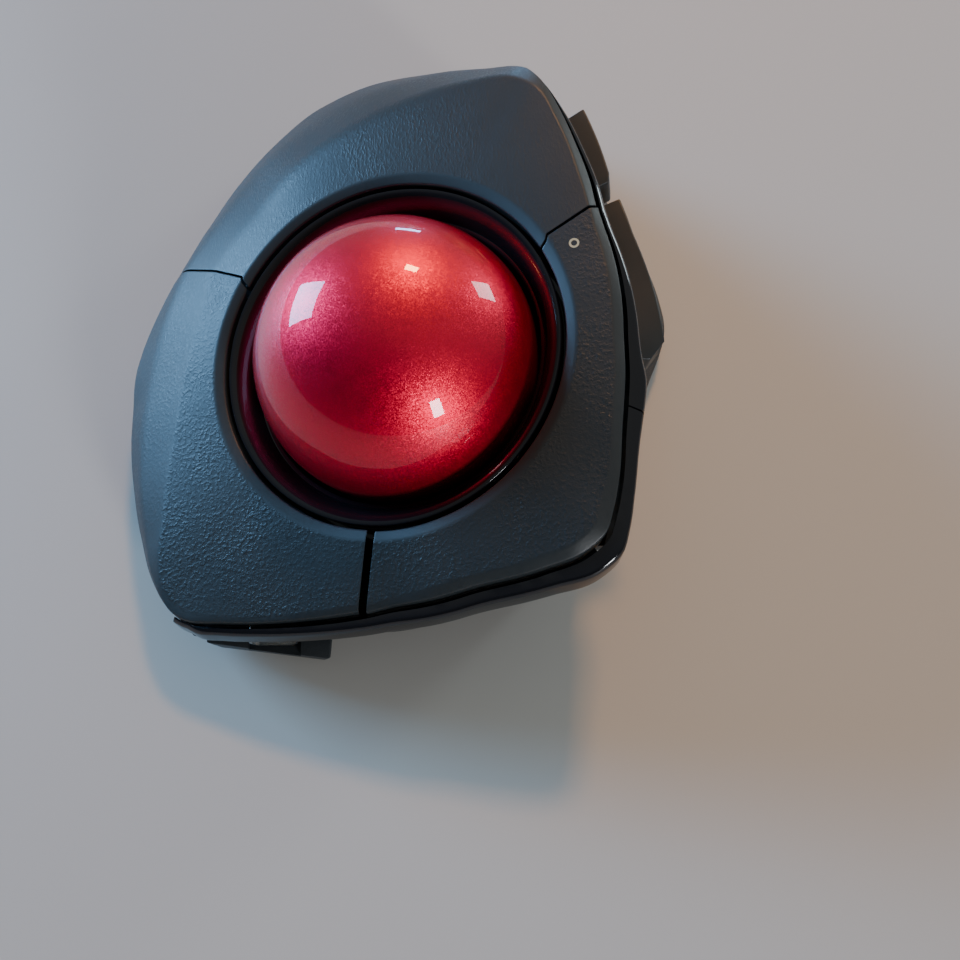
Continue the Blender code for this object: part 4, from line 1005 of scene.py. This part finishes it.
def base_top(angle):
    turned = turned_angle(angle)
    edge, height = outer_edge(turned)
    under_band = polar(turned, edge + 0.6, height - 6.5)
    under_panel = polar(turned, base_outline(turned)[0] + 0.2, 3.0)
    under_cover = polar(turned, hem(turned)[0] - 0.1, 4.4)
    if turned < -133.5 or turned > 85.0:
        return under_cover
    if turned < -45.0:
        first = under_cover.lerp(under_band, blend_between(turned, -133.5, -132.0))
        return first.lerp(under_panel, blend_between(turned, -47.4, -46.6))
    return under_panel.lerp(under_cover, blend_between(turned, 84.0, 85.0))


def base_path(angle):
    top = base_top(angle)
    radius = base_outline(angle)[0]
    low_wall = polar(angle, radius, 2.2)
    return [top, top.lerp(low_wall, 0.5), low_wall, polar(angle, radius - 1.2, FLOOR_LOW),
            polar(angle, 9.6 + (radius - 10.8) * 0.55, FLOOR_LOW), polar(angle, 9.6, FLOOR_LOW)]


def make_base():
    face, back = [], []
    cuts = (0.3, 0.7, 0.7, 0.3)
    for angle in np.arange(BAND_START + 1.0, BAND_START + 361.0, 1.5):
        path = base_path(angle)
        face.append([point for point, _ in filleted(path, cuts, 3)])
        back.append([point for point, _ in filleted(offset_path(path, angle, CASE_WALL), cuts, 3)])
    made = add_piece("base_case", slab(face, back, closed=True), "case", "case_plastic")
    posts = bmesh.new()
    for x, y in POSTS:
        rod_work(3.2, 7.0, (x, y, 5.6), sides=32, work=posts)
    combined(made, guide(posts), "UNION")
    hood = bmesh.new()
    for point in HOOD_POINTS:
        hood.verts.new(point)
    bmesh.ops.convex_hull(hood, input=hood.verts)
    tool = bevelled(guide(hood), 0.35, 3, angle=20.0)
    combined(made, tool, "UNION")
    cutters = bmesh.new()
    box_work((BAY_LENGTH, BAY_WIDTH, 6.0), (BATTERY_CENTRE.x, BATTERY_CENTRE.y, FLOOR_LOW), work=cutters)
    box_work((SLIDER_SLOT, 3.2, 6.0), (*POWER_PLACE, FLOOR_LOW), work=cutters)
    box_work((SLIDER_SLOT, 3.2, 6.0), (*MODE_PLACE, FLOOR_LOW), work=cutters)
    rod_work(2.6, 6.0, (*PAIRING_PLACE, FLOOR_LOW), work=cutters)
    for x, y in POSTS:
        rod_work(2.4, 2.4, (x, y, 1.2), sides=32, work=cutters)
        rod_work(1.35, 12.0, (x, y, 6.3), sides=24, work=cutters)
    box_work((8.2, 12.0, 3.3), (PORT_X, -36.2, PORT_HEIGHT + 0.05), work=cutters)
    combined(made, guide(cutters))
    for x, y in FEET:
        combined(made, guide(turned_work([(4.5, 0.5), (4.5, 1.3), (4.2, 1.3), (4.2, 0.5)], (x, y, 0.0))))
    return made


def make_usb():
    """Folded steel shell round the tongue."""
    outline = ((-3.75, 1.1), (-3.5, 1.35), (3.5, 1.35), (3.75, 1.1), (3.75, -0.1), (2.75, -1.3),
               (-2.75, -1.3), (-3.75, -0.1))
    inner = [(x * 0.9, z * 0.78) for x, z in outline]
    sections = []
    for y, loop in ((-38.65, outline), (-33.4, outline), (-33.4, inner), (-38.65, inner)):
        sections.append([Vector((PORT_X + x, y, PORT_HEIGHT + z)) for x, z in loop])
    add_piece("usb_port", loft(sections, closed=True), "case", "steel", smooth=30.0)


def make_underside():
    size = (BAY_LENGTH - 0.9, BAY_WIDTH - 0.9, 1.2)
    centre = Vector((BATTERY_CENTRE.x, BATTERY_CENTRE.y, FLOOR_LOW + 0.6))
    door = add_piece("battery_door", box_work(size, centre), "battery_door_body", "case_plastic")
    grooves = bmesh.new()
    for number in range(6):
        place = (centre.x, centre.y + 2.6 + number * 0.95, FLOOR_LOW)
        box_work((12.0, 0.45, 0.8), place, work=grooves)
    combined(door, guide(grooves))
    bevelled(door, 0.18, 2)
    make_slider("power_slider", POWER_PLACE[0] - SLIDER_TRAVEL / 2, POWER_PLACE[1])
    make_slider("mode_slider", *MODE_PLACE)
    button = turned_work([(1.9, 0.9), (2.1, 0.95), (2.2, 1.1), (2.2, 3.2), (3.4, 3.3), (3.4, 4.0)],
                         (*PAIRING_PLACE, 0.0), sides=48, closed=False)
    add_piece("pairing_button", button, "pairing_button_body", "white_plastic")
    for number, place in enumerate(FEET, start=1):
        foot = turned_work([(3.75, 0.0), (3.93, 0.06), (4.0, 0.2), (4.0, 0.7)], (*place, 0.0),
                           sides=64, closed=False)
        add_piece(f"foot_{number}", foot, "case", "rubber")
    for number, place in enumerate(POSTS, start=1):
        make_screw(f"case_screw_{number}", *place)


def make_slider(name, x, y):
    """Sliding knob with three finger ridges on the part that shows."""
    outline = [(-1.7, 0.95), (-1.55, 0.8)]
    for ridge in (-0.9, 0.0, 0.9):
        outline += [(ridge - 0.3, 0.8), (ridge - 0.15, 1.1), (ridge + 0.15, 1.1), (ridge + 0.3, 0.8)]
    outline += [(1.55, 0.8), (1.7, 0.95), (1.7, 2.95), (6.2, 2.95), (6.2, 3.9), (-6.2, 3.9), (-6.2, 2.95),
                (-1.7, 2.95)]
    sections = [[Vector((x + dx, y + dy, z)) for dx, z in outline] for dy in (-1.2, 1.2)]
    add_piece(name, loft(sections), f"{name}_body", "white_plastic")


def make_screw(name, x, y):
    """Pan-head screw with a cross recess."""
    work = turned_work([(1.9, 1.3), (2.08, 1.42), (2.1, 2.1), (1.05, 2.15), (1.05, 8.6)],
                       (x, y, 0.0), sides=40, closed=False)
    made = add_piece(name, work, "case", "steel")
    arm, half = 1.2, 0.25
    outline = []
    for _ in range(4):
        outline = [(arm, -half), (arm, half), (half, half)] + [(-v, u) for u, v in outline]
    cross = [[Vector((x + u, y + v, z)) for u, v in outline] for z in (0.8, 2.0)]
    combined(made, guide(loft(cross)))


# ---- pieces kept from the CAD model
def finish_kept_nodes():
    """Give every CAD node the procedural material of its slot."""
    slots = {row["node"]: row["material_slot"] for row in frame["record"]["subparts"]}
    for name, node in frame["nodes"].items():
        node.data.materials.clear()
        node.data.materials.append(FINISHES[slots[name]]())


# ---- floor, lights, camera
FLOOR_HALF = 2.5                     # metres


def make_floor():
    work = bmesh.new()
    bmesh.ops.create_grid(work, x_segments=1, y_segments=1, size=FLOOR_HALF)
    mesh = bpy.data.meshes.new("floor")
    work.to_mesh(mesh)
    work.free()
    n = Nodes("floor_pale")
    tone = n.noise(n.place((1.0, 1.0, 1.0)), 3.0, 3.0)
    colour = n.mix(tone, (0.50, 0.47, 0.43), (0.54, 0.51, 0.47))
    mesh.materials.append(n.finish(Base_Color=colour, Roughness=0.6))
    floor = bpy.data.objects.new("floor", mesh)
    bpy.context.scene.collection.objects.link(floor)


def add_light(name, azimuth, elevation, distance, size, power, colour):
    """A rectangular area light in a direction from the ball, facing it."""
    aim = Vector((0.0, BALL_PLACE.y * MM, 0.026))
    turn, rise = math.radians(azimuth), math.radians(elevation)
    way = Vector((math.cos(rise) * math.cos(turn), math.cos(rise) * math.sin(turn), math.sin(rise)))
    data = bpy.data.lights.new(name, "AREA")
    data.shape = "RECTANGLE"
    data.size, data.size_y = size
    data.energy = power
    data.color = colour
    made = bpy.data.objects.new(name, data)
    made.location = aim + way * distance
    made.rotation_euler = way.to_track_quat("Z", "Y").to_euler()
    bpy.context.scene.collection.objects.link(made)


def make_lights():
    world = bpy.data.worlds.new("studio")
    world.use_nodes = True
    tree = world.node_tree
    direction = tree.nodes.new("ShaderNodeTexCoord").outputs["Generated"]
    height = tree.nodes.new("ShaderNodeVectorMath")
    height.operation = "DOT_PRODUCT"
    height.inputs[1].default_value = (0.35, 0.55, 0.76)
    tree.links.new(direction, height.inputs[0])
    strength = tree.nodes.new("ShaderNodeMapRange")
    strength.interpolation_type = "SMOOTHSTEP"
    for key, value in (("From Min", -0.1), ("From Max", 1.0), ("To Min", 0.06), ("To Max", 0.36)):
        strength.inputs[key].default_value = value
    tree.links.new(height.outputs["Value"], strength.inputs["Value"])
    tree.links.new(strength.outputs["Result"], tree.nodes["Background"].inputs["Strength"])
    tree.nodes["Background"].inputs["Color"].default_value = (0.84, 0.92, 0.94, 1.0)
    bpy.context.scene.world = world
    cool, white, warm = (0.26, 0.58, 1.0), (0.93, 0.96, 1.0), (1.0, 0.50, 0.20)
    add_light("window_left", 152.0, 19.0, 1.6, (0.66, 0.60), 42.0, cool)
    add_light("window_front", -59.0, 14.0, 1.6, (0.22, 0.38), 15.0, white)
    add_light("lamp", 75.5, 47.5, 1.3, (0.17, 0.12), 8.0, warm)
    add_light("window_back", 88.0, 3.0, 1.6, (0.26, 0.09), 2.0, cool)
    add_light("window_right", 38.0, 14.0, 1.6, (0.30, 0.40), 5.0, (0.80, 0.95, 1.0))


def make_camera():
    data = bpy.data.cameras.new("camera")
    data.sensor_width = 36.0
    data.lens = 33.75
    made = bpy.data.objects.new("camera", data)
    made.location = (0.01156, -0.09993, 0.14233)
    made.rotation_euler = (math.radians(26.556), 0.0, math.radians(-0.7))
    bpy.context.scene.collection.objects.link(made)
    bpy.context.scene.camera = made


def main():
    make_top()
    make_legend()
    make_band()
    make_ball()
    make_socket()
    make_thumb_panel()
    make_thumb_keys()
    make_wheel()
    make_base()
    make_usb()
    make_underside()
    finish_kept_nodes()
    make_floor()
    make_lights()
    make_camera()


main()
